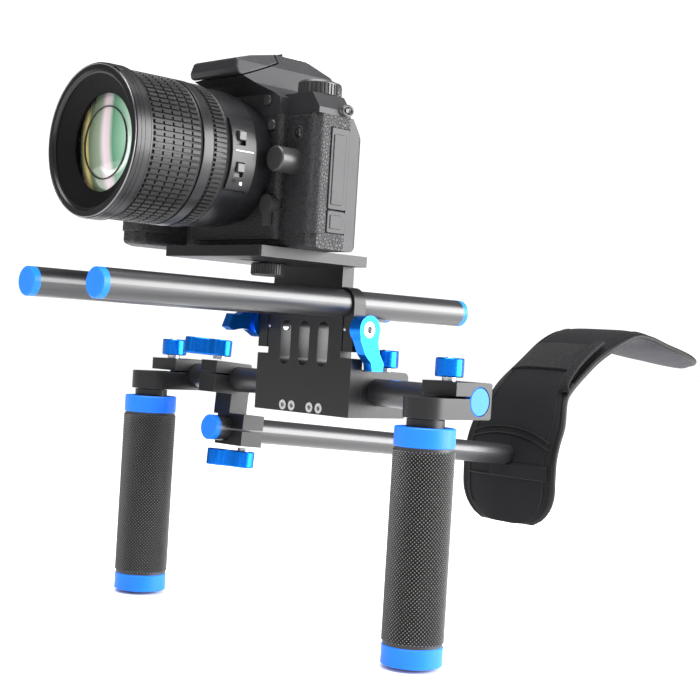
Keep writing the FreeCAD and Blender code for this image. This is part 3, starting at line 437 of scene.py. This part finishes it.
def smooth_run(knots, steps=8, closed=False):
    """A Catmull-Rom curve through the knots."""
    knots = [Vector(knot) for knot in knots]
    count = len(knots)
    points = []
    for n in range(count if closed else count - 1):
        pick = (lambda i: knots[i % count]) if closed else (lambda i: knots[max(0, min(count - 1, i))])
        a, b, c, d = pick(n - 1), pick(n), pick(n + 1), pick(n + 2)
        for k in range(steps):
            t = k / steps
            points.append(0.5 * (2 * b + (c - a) * t + (2 * a - 5 * b + 4 * c - d) * t * t
                                 + (3 * b - a - 3 * c + d) * t ** 3))
    if not closed:
        points.append(knots[-1])
    return points


def tube(path, radius, sides=10, closed=False):
    """A round cord along a run of points."""
    path = [Vector(point) for point in path]
    count = len(path)
    points, faces = [], []
    side = Vector((0, 0, 1))
    for n, here in enumerate(path):
        before = path[n - 1] if n or closed else here
        after = path[(n + 1) % count] if n < count - 1 or closed else here
        way = (after - before).normalized()
        side = (side - way * side.dot(way))
        side = side.normalized() if side.length > 1e-6 else way.orthogonal().normalized()
        other = way.cross(side)
        for k in range(sides):
            angle = TURN * k / sides
            points.append(here + radius * (side * math.cos(angle) + other * math.sin(angle)))
    for n in range(count if closed else count - 1):
        a, b = n * sides, (n + 1) % count * sides
        faces += [[a + k, a + (k + 1) % sides, b + (k + 1) % sides, b + k] for k in range(sides)]
    if not closed:
        faces += [list(range(sides))[::-1], list(range((count - 1) * sides, count * sides))]
    return points, faces


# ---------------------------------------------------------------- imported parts

def set_screws():
    """The two small screw tips that show in the plate's face beside the slots."""
    for side, x in (("left", 32.2), ("right", -29.9)):
        tip = lathe([(0, -0.25), (0.7, -0.2), (1.0, 0.1), (1.0, 0.6), (0, 0.6)], 24, (x, -13.8))
        mesh(f"set_screw_{side}", *tip, "steel", "frame", "steel")


def finish_packed_parts():
    """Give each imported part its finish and, where it is machined or moulded, a small edge radius."""
    round_edge = {"slotted_plate": 0.5, "rod_block": 0.6, "camera_plate": 0.5, "handle_left_arm": 0.6,
                  "handle_right_arm": 0.6, "shoulder_clamp": 0.6, "camera_front_cover": 1.0,
                  "camera_rear_cover": 1.0, "camera_top_cover": 1.0, "popup_flash": 1.0, "hot_shoe": 0.2,
                  "eyecup": 0.8, "rear_screen": 0.4, "card_door": 0.5, "lens_barrel": 0.3,
                  "focus_mode_lever": 0.6, "lens_switches": 0.3, "selector_pad": 0.4,
                  "lens_release_button": 0.5}
    for name, part in frame["nodes"].items():
        part.data.materials.clear()
        part.data.materials.append(F[SLOTS[name]].material)
        if name in round_edge:
            part.modifiers.new("weld", "WELD").merge_threshold = 0.001 * MM
            flat = part.modifiers.new("flat", "DECIMATE")
            flat.decimate_type = "DISSOLVE"
            flat.angle_limit = math.radians(1.0)
            bevel(part, round_edge[name])


# ---------------------------------------------------------------- lens

def tiles(radius, raised, first, last, columns, rows, gap, lean=0.22):
    """Raised tiles in rows round the lens axis, each with sloping sides."""
    parts = []
    long = (last - first) / columns
    for row in range(rows):
        angle, half = TURN * row / rows, TURN / rows * (0.5 - gap / 2)
        for column in range(columns):
            low, high = first + column * long + 0.35, first + (column + 1) * long - 0.35
            corners = []
            for r, shrink in ((radius - 0.2, 0.0), (radius + raised, lean)):
                for t, y in ((-1, low), (1, low), (1, high), (-1, high)):
                    a = angle + t * half * (1 - shrink)
                    far = y + (shrink if y == low else -shrink)
                    corners.append((r * math.cos(a), far, LENS_HEIGHT + r * math.sin(a)))
            parts.append((corners, [[3, 2, 1, 0], [4, 5, 6, 7], [0, 1, 5, 4], [1, 2, 6, 5], [2, 3, 7, 6],
                                    [3, 0, 4, 7]]))
    return joined(*parts)


RING_BORE = 33.15


def lens_rings():
    """The zoom and focus rings: a sleeve with a bead at each end and rubber tiles between."""
    for node, rows, columns, lift, base_drop in (("zoom_ring", 78, 5, 0.85, 0.8),
                                                 ("focus_ring", 92, 1, 0.90, 0.7)):
        low, high = limits(node)
        outer = (high.x - low.x) / 2
        radius = outer - base_drop
        edge = 0.6
        body = lathe([(RING_BORE, low.y), (radius, low.y), (radius + 0.3, low.y + edge),
                      (radius, low.y + 2 * edge), (radius, high.y - 2 * edge),
                      (radius + 0.3, high.y - edge), (radius, high.y), (RING_BORE, high.y)],
                     144, (0, LENS_HEIGHT))
        ribs = tiles(radius, lift, low.y + 2.2 * edge, high.y - 2.2 * edge, columns, rows, 0.30)
        mesh(f"{node}_rubber", *joined(body, ribs), "lens_rubber", node, SLOTS[node], (node,), sharp=30)


def lens_glass():
    """A domed front element, a thin black ring where the edge of a smaller element behind it shows, and the black
    rings that hold them.
    """
    low, high = limits("front_glass")
    rim = (high.x - low.x) / 2
    front = low.y

    def dome(radius, at, crown, thick):
        steps = 14
        face = [(radius * n / steps, at + crown * (n / steps) ** 2) for n in range(steps + 1)]
        return [*face, (radius, at + crown + thick), (0, at + crown + thick)]

    glass = lathe(dome(rim - 0.1, front, 4.2, 3.2), 96, (0, LENS_HEIGHT))
    mesh("front_element", *glass, "coated_glass", "lens_front", "coated_glass", ("front_glass",), sharp=40)
    line = lathe([(17.6, front + 0.9), (17.9, front + 0.6), (18.2, front + 0.9), (17.9, front + 2.2)], 96,
                 (0, LENS_HEIGHT))
    mesh("inner_element_edge", *line, "lens_black", "lens_front", "lens_black")
    name_ring = lathe([(34.6, front - 6.2), (34.2, front - 6.4), (24.4, front - 0.5), (24.2, front + 0.2),
                       (24.6, front + 0.6), (34.6, front - 4.6)], 144, (0, LENS_HEIGHT))
    mesh("front_recess_ring", *name_ring, "lens_recess", "lens_front", "lens_black")
    holder = lathe([(rim - 2.0, front + 2.6), (rim - 0.2, front + 1.6), (rim - 0.2, front + 4.0),
                    (rim - 1.8, front + 3.9)], 96, (0, LENS_HEIGHT))
    mesh("front_retaining_ring", *holder, "lens_black", "lens_front", "lens_black")


LUG_TURN = math.radians(62)


def lens_trim():
    """The ridged filter rim, the seams between the rings and a white index line."""
    low, high = limits("lens_front_barrel")
    outer = (high.x - low.x) / 2
    rings = []
    for far, wide in ((low.y + 3.0, 0.5), (low.y + 5.2, 0.5), (low.y + 8.6, 0.4)):
        rings.append(lathe([(outer - 0.5, far), (outer + 0.15, far + 0.1), (outer + 0.15, far + wide),
                            (outer - 0.5, far + wide + 0.1)], 144, (0, LENS_HEIGHT)))
    threads = [lathe([(34.2 - 0.61 * depth, low.y + depth + 0.1), (33.3 - 0.61 * depth, low.y + depth + 0.45),
                      (34.2 - 0.61 * depth, low.y + depth + 0.8),
                      (34.8 - 0.61 * depth, low.y + depth + 0.45)],
                     144, (0, LENS_HEIGHT)) for depth in (0.8, 1.9, 3.0, 4.1)]
    mesh("filter_rim_ridges", *joined(*rings, *threads), "lens_black", "lens_front", "lens_black")

    rim_edge = tube([(37.2 * math.cos(a), low.y + 0.25, LENS_HEIGHT + 37.2 * math.sin(a))
                     for a in (TURN * n / 144 for n in range(144))], 0.4, 10, closed=True)
    mesh("filter_rim_edge", *rim_edge, "mount_steel", "lens_front", "lens_black")
    lug = slab(rounded_box(5.0, 2.6, 0.6, 4), -0.3, 0.7,
               lambda u, v, w: ((outer + w) * math.cos(LUG_TURN) - u * math.sin(LUG_TURN), low.y + 1.7 + v,
                                LENS_HEIGHT + (outer + w) * math.sin(LUG_TURN) + u * math.cos(LUG_TURN)))
    mesh("hood_lug", *lug, "lens_black", "lens_front", "lens_black", soften=0.2)

    divider = slab(rounded_box(11.5, 0.5, 0.2, 3), 0, 0.25,
                   lambda u, v, w: (37.35 + w, -80.8 + u, LENS_HEIGHT + 1.4 + v))
    mark = lathe([(0, 37.75), (0.9, 37.7), (1.1, 37.3), (0, 37.3)], 24, (0, 0), "z")
    mark = [(z, -82.5 + x, LENS_HEIGHT - 15.0 + y) for x, y, z in mark[0]], mark[1]
    mesh("switch_panel_divider", *joined(divider, mark), "mount_steel", "frame", "lens_black")

    index = slab(rounded_box(3.0, 0.7, 0.3, 3), 0, 0.25,
                 lambda u, v, w: (v, -103 + u, LENS_HEIGHT + 37.0 + w))
    mesh("zoom_index_line", *index, "steel", "frame", "steel")
    barrel_low = -72.0
    steps = [lathe([(35.0, y), (35.75, y + 0.1), (35.75, y + 0.6), (35.0, y + 0.7)], 144, (0, LENS_HEIGHT))
             for y in (barrel_low - 1.4, -88.9)]
    mesh("rear_barrel_beads", *joined(*steps), "lens_black", "frame", "lens_black")


# ---------------------------------------------------------------- camera body

def camera_skins():
    """Grained rubber on the front beside the lens and round the hand grip."""
    low, high = limits("camera_front_cover")
    left, right, front = high.x, low.x, -52.0

    def skin(name, plan, bottom, top, proud=0.55, steps=6):
        run = smooth_run([(x, y) for x, y in plan], steps)
        outline_out, outline_in = [], []
        for n, here in enumerate(run):
            way = (run[min(n + 1, len(run) - 1)] - run[max(n - 1, 0)]).normalized()
            out = Vector((way.y, -way.x))
            fade = min(1.0, 3.0 * min(n, len(run) - 1 - n) / len(run) + 0.25)
            outline_out.append(here + out * proud * fade)
            outline_in.append(here - out * 0.6)
        outline = [(p.x, p.y) for p in outline_out + outline_in[::-1]]
        mesh(name, *slab(outline, bottom, top), "camera_leatherette", "frame", "camera_leatherette",
             sharp=40, soften=0.35)

    skin("left_front_skin", [(37.5, front), (44, front), (left - 5, front), (left - 2.2, front + 1.8),
                             (left, front + 4.4), (left, front + 9.4)], 33, 93)
    skin("hand_grip_skin", [(-45, front - 1.5), (-49, -76), (-54, -80), (right + 10, -80), (right + 5, -75.5),
                            (right, -69.5), (right, -58)], 33, 90)


def port_covers():
    """Rubber covers over the sockets: a tall one with a raised panel and a small one under it."""
    low, high = limits("port_cover")
    middle = (low.y + high.y) / 2
    deep = high.y - low.y

    def cover(z_low, z_high, raised):
        return slab(rounded_box(deep - 0.3, z_high - z_low, 1.2, 4, (middle, (z_low + z_high) / 2)),
                    low.x + 0.2, high.x + raised, lambda u, v, w: (w, u, v))

    tall = cover(46.2, high.z, 0.0)
    small = cover(low.z, 45.6, 0.0)
    panel = slab(rounded_box(deep - 4.6, 36.0, 0.9, 4, (middle - 0.6, 66.5)), high.x - 0.4, high.x + 0.45,
                 lambda u, v, w: (w, u, v))
    lower_panel = slab(rounded_box(deep - 5.0, 7.2, 0.8, 4, (middle - 0.6, 39.9)), high.x - 0.4,
                       high.x + 0.4, lambda u, v, w: (w, u, v))
    mesh("socket_covers", *joined(tall, small, panel, lower_panel), "camera_shell", "port_cover",
         "camera_shell", ("port_cover",), soften=0.3)


def camera_trim():
    """Small fittings of the body: strap lugs, focus lamp, dial face, display pane, viewfinder glass."""
    low, high = limits("camera_front_cover")
    for side, x in (("left", high.x + 0.6), ("right", low.x - 0.6)):
        sign = 1 if side == "left" else -1
        loop = [(x + sign * 0.9, -33 + 3.4 * math.cos(a), 97.2 + 2.4 * math.sin(a))
                for a in (TURN * n / 28 for n in range(28))]
        stem = tube([(x - sign * 2.4, -33, 97.2), (x + sign * 0.9, -33, 97.2)], 1.1, 12)
        mesh(f"strap_lug_{side}", *joined(tube(loop, 0.75, 10, closed=True), stem), "camera_controls",
             "frame", "camera_controls")

    lamp = lathe([(0, -53.4), (1.8, -53.0), (2.8, -52.2), (3.1, -51.4), (0, -51.4)], 40, (44.5, 84.0))
    mesh("focus_lamp", *lamp, "screen_glass", "frame", "screen_glass")
    bezel = lathe([(3.1, -51.6), (3.1, -52.8), (3.7, -52.9), (4.1, -52.2), (4.1, -51.6)], 40, (44.5, 84.0))
    mesh("focus_lamp_bezel", *bezel, "camera_shell", "frame", "camera_shell")

    dial_low, dial_high = limits("mode_dial")
    centre = ((dial_low.x + dial_high.x) / 2, (dial_low.y + dial_high.y) / 2)
    radius = (dial_high.x - dial_low.x) / 2
    face = lathe([(0, dial_high.z + 0.2), (radius - 3.4, dial_high.z + 0.2),
                  (radius - 3.0, dial_high.z - 0.1), (radius - 3.0, dial_high.z - 0.5),
                  (0, dial_high.z - 0.5)], 64, centre, "z")
    marks = [slab(rounded_box(1.7, 0.5, 0.2, 3), 0, 0.18,
                  lambda u, v, w, a=a: (centre[0] + (radius - 1.9 + u * 0.5) * math.cos(a) - v * math.sin(a),
                                        centre[1] + (radius - 1.9 + u * 0.5) * math.sin(a) + v * math.cos(a),
                                        dial_high.z - 0.05 + w))
             for a in (TURN * n / 12 for n in range(12))]
    mesh("dial_face", *face, "camera_controls", "mode_dial", "camera_controls")
    mesh("dial_marks", *joined(*marks), "steel", "mode_dial", "steel")

    screen_low, screen_high = limits("rear_screen")
    middle = (screen_low + screen_high) / 2
    pane = slab(rounded_box(58, 43, 1.5, 5, (middle.x, middle.z)), screen_high.y - 0.3, screen_high.y + 0.25,
                lambda u, v, w: (u, w, v))
    mesh("display_pane", *pane, "screen_glass", "frame", "screen_glass", soften=0.15)

    cup_low, _ = limits("eyecup")
    finder = slab(rounded_box(19, 10, 2.0, 5, (0, 112)), cup_low.y + 0.8, cup_low.y + 1.6,
                  lambda u, v, w: (u, w, v))
    mesh("finder_window", *finder, "screen_glass", "frame", "screen_glass")


# ---------------------------------------------------------------- blue knobs and levers

KNOB_HEADINGS = {"block_knob": 136, "handle_left_knob": 136, "handle_right_knob": 136,
                 "shoulder_upper_knob": 226, "shoulder_lower_knob": 134}
KNOB = {"boss": 7.0, "tip": 5.6, "reach": 16.0, "waist": 4.4, "tall": 10.0, "gap": 2.0}


def wing_outline(steps=40):
    """A boss and a smaller tip joined by a waist with hollow sides."""
    boss, tip, reach, waist = KNOB["boss"], KNOB["tip"], KNOB["reach"], KNOB["waist"]
    upper = []
    for n in range(steps + 1):
        x = -boss + (boss + reach + tip) * (1 - math.cos(math.pi * n / steps)) / 2
        widths = [math.sqrt(max(0.0, boss ** 2 - x ** 2)), math.sqrt(max(0.0, tip ** 2 - (x - reach) ** 2))]
        if 0 < x < reach:
            widths.append(waist)
        sharp = 3.0
        largest = max(widths)
        width = (sum(w ** sharp for w in widths) ** (1 / sharp)) if 0 < n < steps else 0.0
        upper.append((x, min(width, largest * 1.12)))
    return upper + [(x, -w) for x, w in upper[-2:0:-1]]


def knobs():
    for node, heading in KNOB_HEADINGS.items():
        joint = JOINTS[f"{node}_turn"]
        up = Vector(joint["axis"])
        low, high = limits(node)
        centre = (low + high) / 2
        axis_point = Vector(joint["pos_m"]) / MM
        below = node == "shoulder_lower_knob"
        way = -up if below else up
        # The wing is the far end of the part, so its place is measured from the part's outer face.
        reach_out = max((Vector(corner) - axis_point).dot(way) for corner in box_corners(low, high))
        top = min(reach_out, (centre - axis_point).dot(way) + (high.z - low.z) / 2)
        base = axis_point + way * (top - KNOB["tall"])
        spin = Matrix.Rotation(math.radians(heading), 3, "Z")
        flip = Matrix.Rotation(math.pi, 3, "X") if below else Matrix.Identity(3)
        tilt = Vector((0, 0, 1)).rotation_difference(up).to_matrix()
        turn = tilt @ flip @ spin

        def lift(u, v, w):
            return base + turn @ Vector((u, v, w))

        mesh(f"{node}_wing", *slab(wing_outline(), 0.2, KNOB["tall"], lift), "azure_lever", node,
             "azure_lever", (node,), sharp=50, soften=0.7)
        collar = lathe([(0, -KNOB["gap"] + 0.3), (3.7, -KNOB["gap"] + 0.3), (3.7, 0.3), (0, 0.3)], 40,
                       (0, 0), "z")
        cap = lathe([(0, KNOB["tall"] + 0.05), (1.4, KNOB["tall"] + 0.05), (1.5, KNOB["tall"] + 0.35),
                     (2.6, KNOB["tall"] + 0.3), (2.9, KNOB["tall"] - 0.2), (0, KNOB["tall"] - 0.2)], 40,
                    (0, 0), "z")
        points, faces = joined(collar, cap)
        mesh(f"{node}_screw", [lift(*point) for point in points], faces, "steel", node, "steel")


def box_corners(low, high):
    return [(x, y, z) for x in (low.x, high.x) for y in (low.y, high.y) for z in (low.z, high.z)]


# ---------------------------------------------------------------- rubber grips

def diamond_grips():
    """Rubber sleeves cut by two crossed screws: small pyramids with grooves between them."""
    for side in ("left", "right"):
        node = f"handle_{side}_grip"
        low, high = limits(node)
        cx, cy = (low.x + high.x) / 2, (low.y + high.y) / 2
        outer = (high.x - low.x) / 2
        rows = int((high.z - low.z - 2.4) / (GRIP_PITCH / 2))
        step = (high.z - low.z - 2.4) / rows
        points, faces = [], []

        def ring_point(radius, turn, z):
            angle = TURN * turn / GRIP_ROUND
            points.append((cx + radius * math.cos(angle), cy + radius * math.sin(angle), z))
            return len(points) - 1

        valley = [[ring_point(outer - KNURL_DEEP, n + 0.5 * (row % 2), low.z + 1.2 + row * step)
                   for n in range(GRIP_ROUND)] for row in range(rows + 1)]
        for row in range(rows - 1):
            for n in range(GRIP_ROUND):
                odd = row % 2
                left, right = valley[row + 1][n - 1 + odd], valley[row + 1][(n + odd) % GRIP_ROUND]
                down, up = valley[row][n], valley[row + 2][n]
                tip = ring_point(outer + 0.1, n + 0.5 * odd, low.z + 1.2 + (row + 1) * step)
                faces += [[down, right, tip], [right, up, tip], [up, left, tip], [left, down, tip]]
        for row, other in ((0, 1), (rows, rows - 1)):
            shift = row % 2
            for n in range(GRIP_ROUND):
                first, second = valley[row][n], valley[row][(n + 1) % GRIP_ROUND]
                between = valley[other][(n + shift) % GRIP_ROUND]
                faces.append([first, second, between])
        inner = outer - 5.0
        for row, z in ((0, low.z), (rows, high.z)):
            edge = [ring_point(outer - KNURL_DEEP, n + 0.5 * (row % 2), z) for n in range(GRIP_ROUND)]
            hole = [ring_point(inner, n + 0.5 * (row % 2), z) for n in range(GRIP_ROUND)]
            for n in range(GRIP_ROUND):
                m = (n + 1) % GRIP_ROUND
                faces.append([valley[row][n], valley[row][m], edge[m], edge[n]])
                faces.append([edge[n], edge[m], hole[m], hole[n]])
            if row == 0:
                bottom_hole = hole
            else:
                for n in range(GRIP_ROUND):
                    m = (n + 1) % GRIP_ROUND
                    faces.append([bottom_hole[n], bottom_hole[m], hole[m], hole[n]])
        mesh(f"{node}_knurl", points, faces, "grip_rubber", f"handle_{side}", "grip_rubber", (node,),
             sharp=20)


# ---------------------------------------------------------------- shoulder pad

PAD_TOP = [(281, -145), (279, -105), (281, -88), (287, -72), (300, -47), (323, -28), (351, -10), (378, 1),
           (397, 1), (424, -5), (460, -11), (500, -17)]
PAD_RUN = smooth_run([(0, y, z) for y, z in PAD_TOP], 12)
PAD_SIDE = -83.0
PAD_THICK, PAD_EDGE = 10.0, 5.2
FOOT_ROUND, TIP_ROUND = 27.0, 78.0
SLACK, SWELL_CAP = 0.84, 1.6 * MM
FOAM_PRESSURE, CLOTH_FRAMES, SEWN_FROM = 4.0, 20, 0.9
LINING_LEAN = 0.6


def pad_lengths():
    total = [0.0]
    for before, after in zip(PAD_RUN, PAD_RUN[1:]):
        total.append(total[-1] + (after - before).length)
    return total


PAD_AT = pad_lengths()
PAD_LONG = PAD_AT[-1]


def pad_profile(distance):
    """A point on the outer face of the pad and the inward direction there."""
    distance = max(0.0, min(PAD_LONG, distance))
    n = max(k for k, at in enumerate(PAD_AT[:-1]) if at <= distance + 1e-9)
    part = (distance - PAD_AT[n]) / (PAD_AT[n + 1] - PAD_AT[n])
    way = (PAD_RUN[n + 1] - PAD_RUN[n]).normalized()
    return PAD_RUN[n].lerp(PAD_RUN[n + 1], part), Vector((0, way.z, -way.y))


def pad_half(distance):
    """Half the pad's width: full below, drawn in at the bend, round at both ends."""
    waist = [(0, 41.0), (70, 41.0), (105, 33.5), (140, 33.0), (185, 36.5), (230, 38.5), (PAD_LONG, 36.0)]
    for (a, wa), (b, wb) in zip(waist, waist[1:]):
        if a <= distance <= b:
            t = (distance - a) / (b - a)
            width = wa + (wb - wa) * t * t * (3 - 2 * t)
            break
    if distance < FOOT_ROUND:
        width -= FOOT_ROUND - math.sqrt(max(0.0, FOOT_ROUND ** 2 - (FOOT_ROUND - distance) ** 2))
    left = PAD_LONG - distance
    if left < TIP_ROUND:
        width *= math.sqrt(max(0.0, 1 - (1 - left / TIP_ROUND) ** 2.2))
    return width


def pad_point(distance, across, depth):
    """across runs from -1 to 1 over the width; depth is measured inward from the outer face."""
    here, inward = pad_profile(distance)
    crown = 1.1 * (1 - across * across)
    return Vector((PAD_SIDE + across * pad_half(distance), 0, 0)) + here + inward * (depth - 0.4 * crown)


def pad_thickness(across):
    return PAD_EDGE + (PAD_THICK - PAD_EDGE) * (1 - abs(across) ** 4)


def on_pad(distance, across, proud=0.0):
    """A point that stands proud of the pad's rounded outer face."""
    round_off = math.sqrt(max(0.0, 1 - min(1.0, abs(across)) ** (2 / 0.45))) ** 0.55
    return pad_point(distance, across, PAD_THICK / 2 - pad_thickness(across) / 2 * round_off - proud)


def shoulder_pad():
    """A padded sheet with rounded edges, black outside and lined with a lighter cloth inside."""
    rows, around = 110, 44
    slack = SLACK
    points, faces = [], []
    for row in range(rows + 1):
        distance = PAD_LONG * (0.5 - 0.5 * math.cos(math.pi * row / rows))
        for k in range(around):
            angle = TURN * k / around
            c, s = math.cos(angle), math.sin(angle)
            across = math.copysign(abs(c) ** 0.45, c)
            rise = math.copysign(abs(s) ** 0.55, s) * pad_thickness(across) / 2
            rise *= 1 - (1 - slack) * (1 - across * across)
            points.append(pad_point(distance, across, PAD_THICK / 2 - rise))
    for row in range(rows):
        a, b = row * around, (row + 1) * around
        faces += [[a + k, a + (k + 1) % around, b + (k + 1) % around, b + k] for k in range(around)]
    faces += [list(range(around))[::-1], list(range(rows * around, (rows + 1) * around))]
    pad = mesh("neoprene_pad", points, faces, "neoprene", "shoulder_rod", "neoprene",
               ("shoulder_pad", "pad_plate"), sharp=60)
    swell(pad)
    pad.data.materials.append(F["neoprene_under"].material)
    for face in pad.data.polygons:
        _, inward = pad_profile(nearest_distance(face.center / MM))
        if face.normal.dot(inward) > LINING_LEAN:
            face.material_index = 1
    smooth = pad.modifiers.new("smooth", "SUBSURF")
    smooth.levels = smooth.render_levels = 1

    rim = [pad_point(d, 1.0, PAD_THICK / 2) for d in spaced(2, PAD_LONG - 2, 90)]
    back = [pad_point(d, -1.0, PAD_THICK / 2) for d in spaced(PAD_LONG - 2, 2, 90)]
    mesh("pad_piping", *tube(rim + back, 2.3, 12, closed=True), "piping", "shoulder_rod", "neoprene")


def nearest_distance(point):
    best = min(range(len(PAD_RUN)), key=lambda n: (PAD_RUN[n].yz - point.yz).length)
    return PAD_AT[best]


def spaced(start, end, count):
    return [start + (end - start) * n / count for n in range(count + 1)]


def swell(piece):
    """Let the foam push its cover out between the sewn edges; the cap only guards against a bad run."""
    scene = bpy.context.scene
    start = [vertex.co.copy() for vertex in piece.data.vertices]
    sewn = piece.vertex_groups.new(name="sewn")
    for vertex in piece.data.vertices:
        point = vertex.co / MM
        if abs(point.x - PAD_SIDE) > SEWN_FROM * pad_half(nearest_distance(point)):
            sewn.add([vertex.index], 1.0, "REPLACE")
    cloth = piece.modifiers.new("cloth", "CLOTH")
    cloth.settings.use_pressure = True
    cloth.settings.uniform_pressure_force = FOAM_PRESSURE
    cloth.settings.vertex_group_mass = "sewn"
    cloth.settings.effector_weights.gravity = 0.0
    cloth.settings.quality = 5
    for number in range(1, CLOTH_FRAMES + 1):
        scene.frame_set(number)
    swollen = piece.evaluated_get(bpy.context.evaluated_depsgraph_get()).to_mesh()
    after = [vertex.co.copy() for vertex in swollen.vertices]
    piece.modifiers.remove(cloth)
    for vertex, before, moved in zip(piece.data.vertices, start, after):
        push = moved - before
        vertex.co = before + (push if push.length <= SWELL_CAP else push.normalized() * SWELL_CAP)
    scene.frame_set(1)


def pad_layer(name, first, last, left, right, proud, thick, finish, rows=24, columns=20):
    """A strip of cloth that lies on the pad's outer face."""
    points, faces = [], []
    for depth in (-proud, -proud + thick):
        for row in range(rows + 1):
            for column in range(columns + 1):
                across = left + (right - left) * column / columns
                points.append(on_pad(first + (last - first) * row / rows, across, -depth))
    wide, sheet = columns + 1, (rows + 1) * (columns + 1)
    for row in range(rows):
        for column in range(columns):
            a = row * wide + column
            faces.append([a, a + 1, a + wide + 1, a + wide])
            faces.append([sheet + a + wide, sheet + a + wide + 1, sheet + a + 1, sheet + a])
    rim = ([c for c in range(wide)] + [r * wide + columns for r in range(1, rows + 1)]
           + [rows * wide + c for c in range(columns - 1, -1, -1)]
           + [r * wide for r in range(rows - 1, 0, -1)])
    faces += [[a, b, sheet + b, sheet + a] for a, b in zip(rim, rim[1:] + rim[:1])]
    return mesh(name, points, faces, finish, "shoulder_rod",
                "hook_loop" if finish == "hook_loop" else "neoprene", sharp=50, soften=0.4)


def pad_details():
    band = pad_layer("hook_loop_band", 126, 160, -0.97, 0.84, 1.6, 2.4, "hook_loop")
    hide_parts("pad_strap")

    loop = [pad_point(d, across, depth) for d, across, depth in (
        (164, 0.80, -1.6), (150, 0.88, -3.2), (136, 0.93, -4.2), (122, 0.97, -4.6), (108, 1.00, -3.4),
        (104, 1.02, 0.5), (112, 0.99, 1.2))]
    run = smooth_run(loop, 8)
    strips = []
    for shift in (-3.0, -1.0, 1.0, 3.0):
        strips.append(tube([point + Vector((shift, 0, 0)) for point in run], 1.15, 8))
    mesh("band_loop", *joined(*strips), "hook_loop", "shoulder_rod", "hook_loop")

    def seam(name, distance, left, right, rise=lambda across: 0.0, radius=0.75, count=36):
        path = [on_pad(distance + rise(a), a) for a in spaced(left, right, count)]
        mesh(name, *tube(path, radius, 8), "piping", "shoulder_rod", "neoprene")

    arch = lambda across: 11.0 * (1 - ((across + 0.15) / 1.1) ** 2)
    seam("pocket_arch_upper", 60, -0.86, 0.90, arch)
    seam("pocket_arch_lower", 55, -0.86, 0.90, arch)
    seam("pocket_mouth", 43, -0.40, 0.92, radius=1.1)
    seam("pocket_seam", 34, -0.86, 0.92)
    pad_layer("pocket_lip", 34.5, 43, -0.30, 0.92, 1.5, 1.6, "neoprene", 8, 18)
    for name, offset in (("inner_stitch_left", 0.84), ("inner_stitch_right", -0.84)):
        path = [on_pad(d, offset) for d in spaced(12, PAD_LONG - 20, 110)]
        mesh(name, *tube(path, 0.55, 6), "piping", "shoulder_rod", "neoprene")


# ---------------------------------------------------------------- studio

def studio():
    """A pale floor, an even world that is dimmer in reflections, and three softboxes."""
    bpy.context.scene.view_settings.view_transform = "Standard"
    low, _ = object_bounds()
    size = 14.0
    floor_data = bpy.data.meshes.new("floor")
    floor_data.from_pydata([(-size, -size, low.z - 0.002), (size, -size, low.z - 0.002),
                            (size, size, low.z - 0.002), (-size, size, low.z - 0.002)], [], [[0, 1, 2, 3]])
    floor = bpy.data.objects.new("floor", floor_data)
    bpy.context.scene.collection.objects.link(floor)
    pale = Finish("floor_paint", Roughness=1.0, Specular_IOR_Level=0.0)
    pale.set(Base_Color=pale.blend(pale.noise(900, 2.0), (0.86, 0.86, 0.86), (0.90, 0.90, 0.90)))
    floor_data.materials.append(pale.material)
    floor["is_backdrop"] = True

    world = bpy.data.worlds.new("studio")
    bpy.context.scene.world = world
    world.use_nodes = True
    nodes, links = world.node_tree.nodes, world.node_tree.links
    seen = nodes.new("ShaderNodeLightPath")
    strength = nodes.new("ShaderNodeMix")
    strength.data_type = "FLOAT"
    strength.inputs[2].default_value = 1.15
    strength.inputs[3].default_value = 0.16
    links.new(seen.outputs["Is Glossy Ray"], strength.inputs[0])
    links.new(strength.outputs[0], nodes["Background"].inputs["Strength"])
    nodes["Background"].inputs["Color"].default_value = (1.0, 1.0, 1.0, 1.0)

    def softbox(name, at, aim, wide, tall, power):
        data = bpy.data.lights.new(name, "AREA")
        data.shape = "RECTANGLE"
        data.size, data.size_y, data.energy = wide, tall, power
        lamp = bpy.data.objects.new(name, data)
        lamp.location = at
        lamp.rotation_euler = (Vector(aim) - Vector(at)).to_track_quat("-Z", "Y").to_euler()
        bpy.context.scene.collection.objects.link(lamp)

    middle = (0.0, 0.12, 0.0)
    softbox("side_box", (1.35, 1.20, 0.25), middle, 1.6, 1.6, 112)
    softbox("top_box", (0.15, -0.10, 1.45), middle, 1.3, 1.3, 42)
    softbox("front_strip", (0.10, -1.60, 0.75), middle, 0.4, 1.0, 3)


VIEW = {"azimuth": 46.18, "elevation": 0.29, "roll": 3.48, "distance": 806.06, "aside": 24.42,
        "above": -26.51, "lens": 74.5}


def camera():
    """A long lens at the rig's own height, turned a little about its axis."""
    azimuth, elevation, roll = (math.radians(VIEW[key]) for key in ("azimuth", "elevation", "roll"))
    back = Vector((math.sin(azimuth) * math.cos(elevation), -math.cos(azimuth) * math.cos(elevation),
                   math.sin(elevation)))
    level = Vector((math.cos(azimuth), math.sin(azimuth), 0))
    right = math.cos(roll) * level + math.sin(roll) * back.cross(level)
    up = back.cross(right)
    data = bpy.data.cameras.new("camera")
    data.lens, data.sensor_width = VIEW["lens"], 36.0
    data.clip_start, data.clip_end = 0.05, 60.0
    eye = bpy.data.objects.new("camera", data)
    at = VIEW["distance"] * back + VIEW["aside"] * right + VIEW["above"] * up
    eye.matrix_world = Matrix.Translation(at * MM) @ Matrix((right, up, back)).transposed().to_4x4()
    bpy.context.scene.collection.objects.link(eye)
    bpy.context.scene.camera = eye


camera()
finish_packed_parts()
set_screws()
lens_rings()
lens_glass()
lens_trim()
camera_skins()
port_covers()
camera_trim()
knobs()
diamond_grips()
shoulder_pad()
pad_details()
studio()
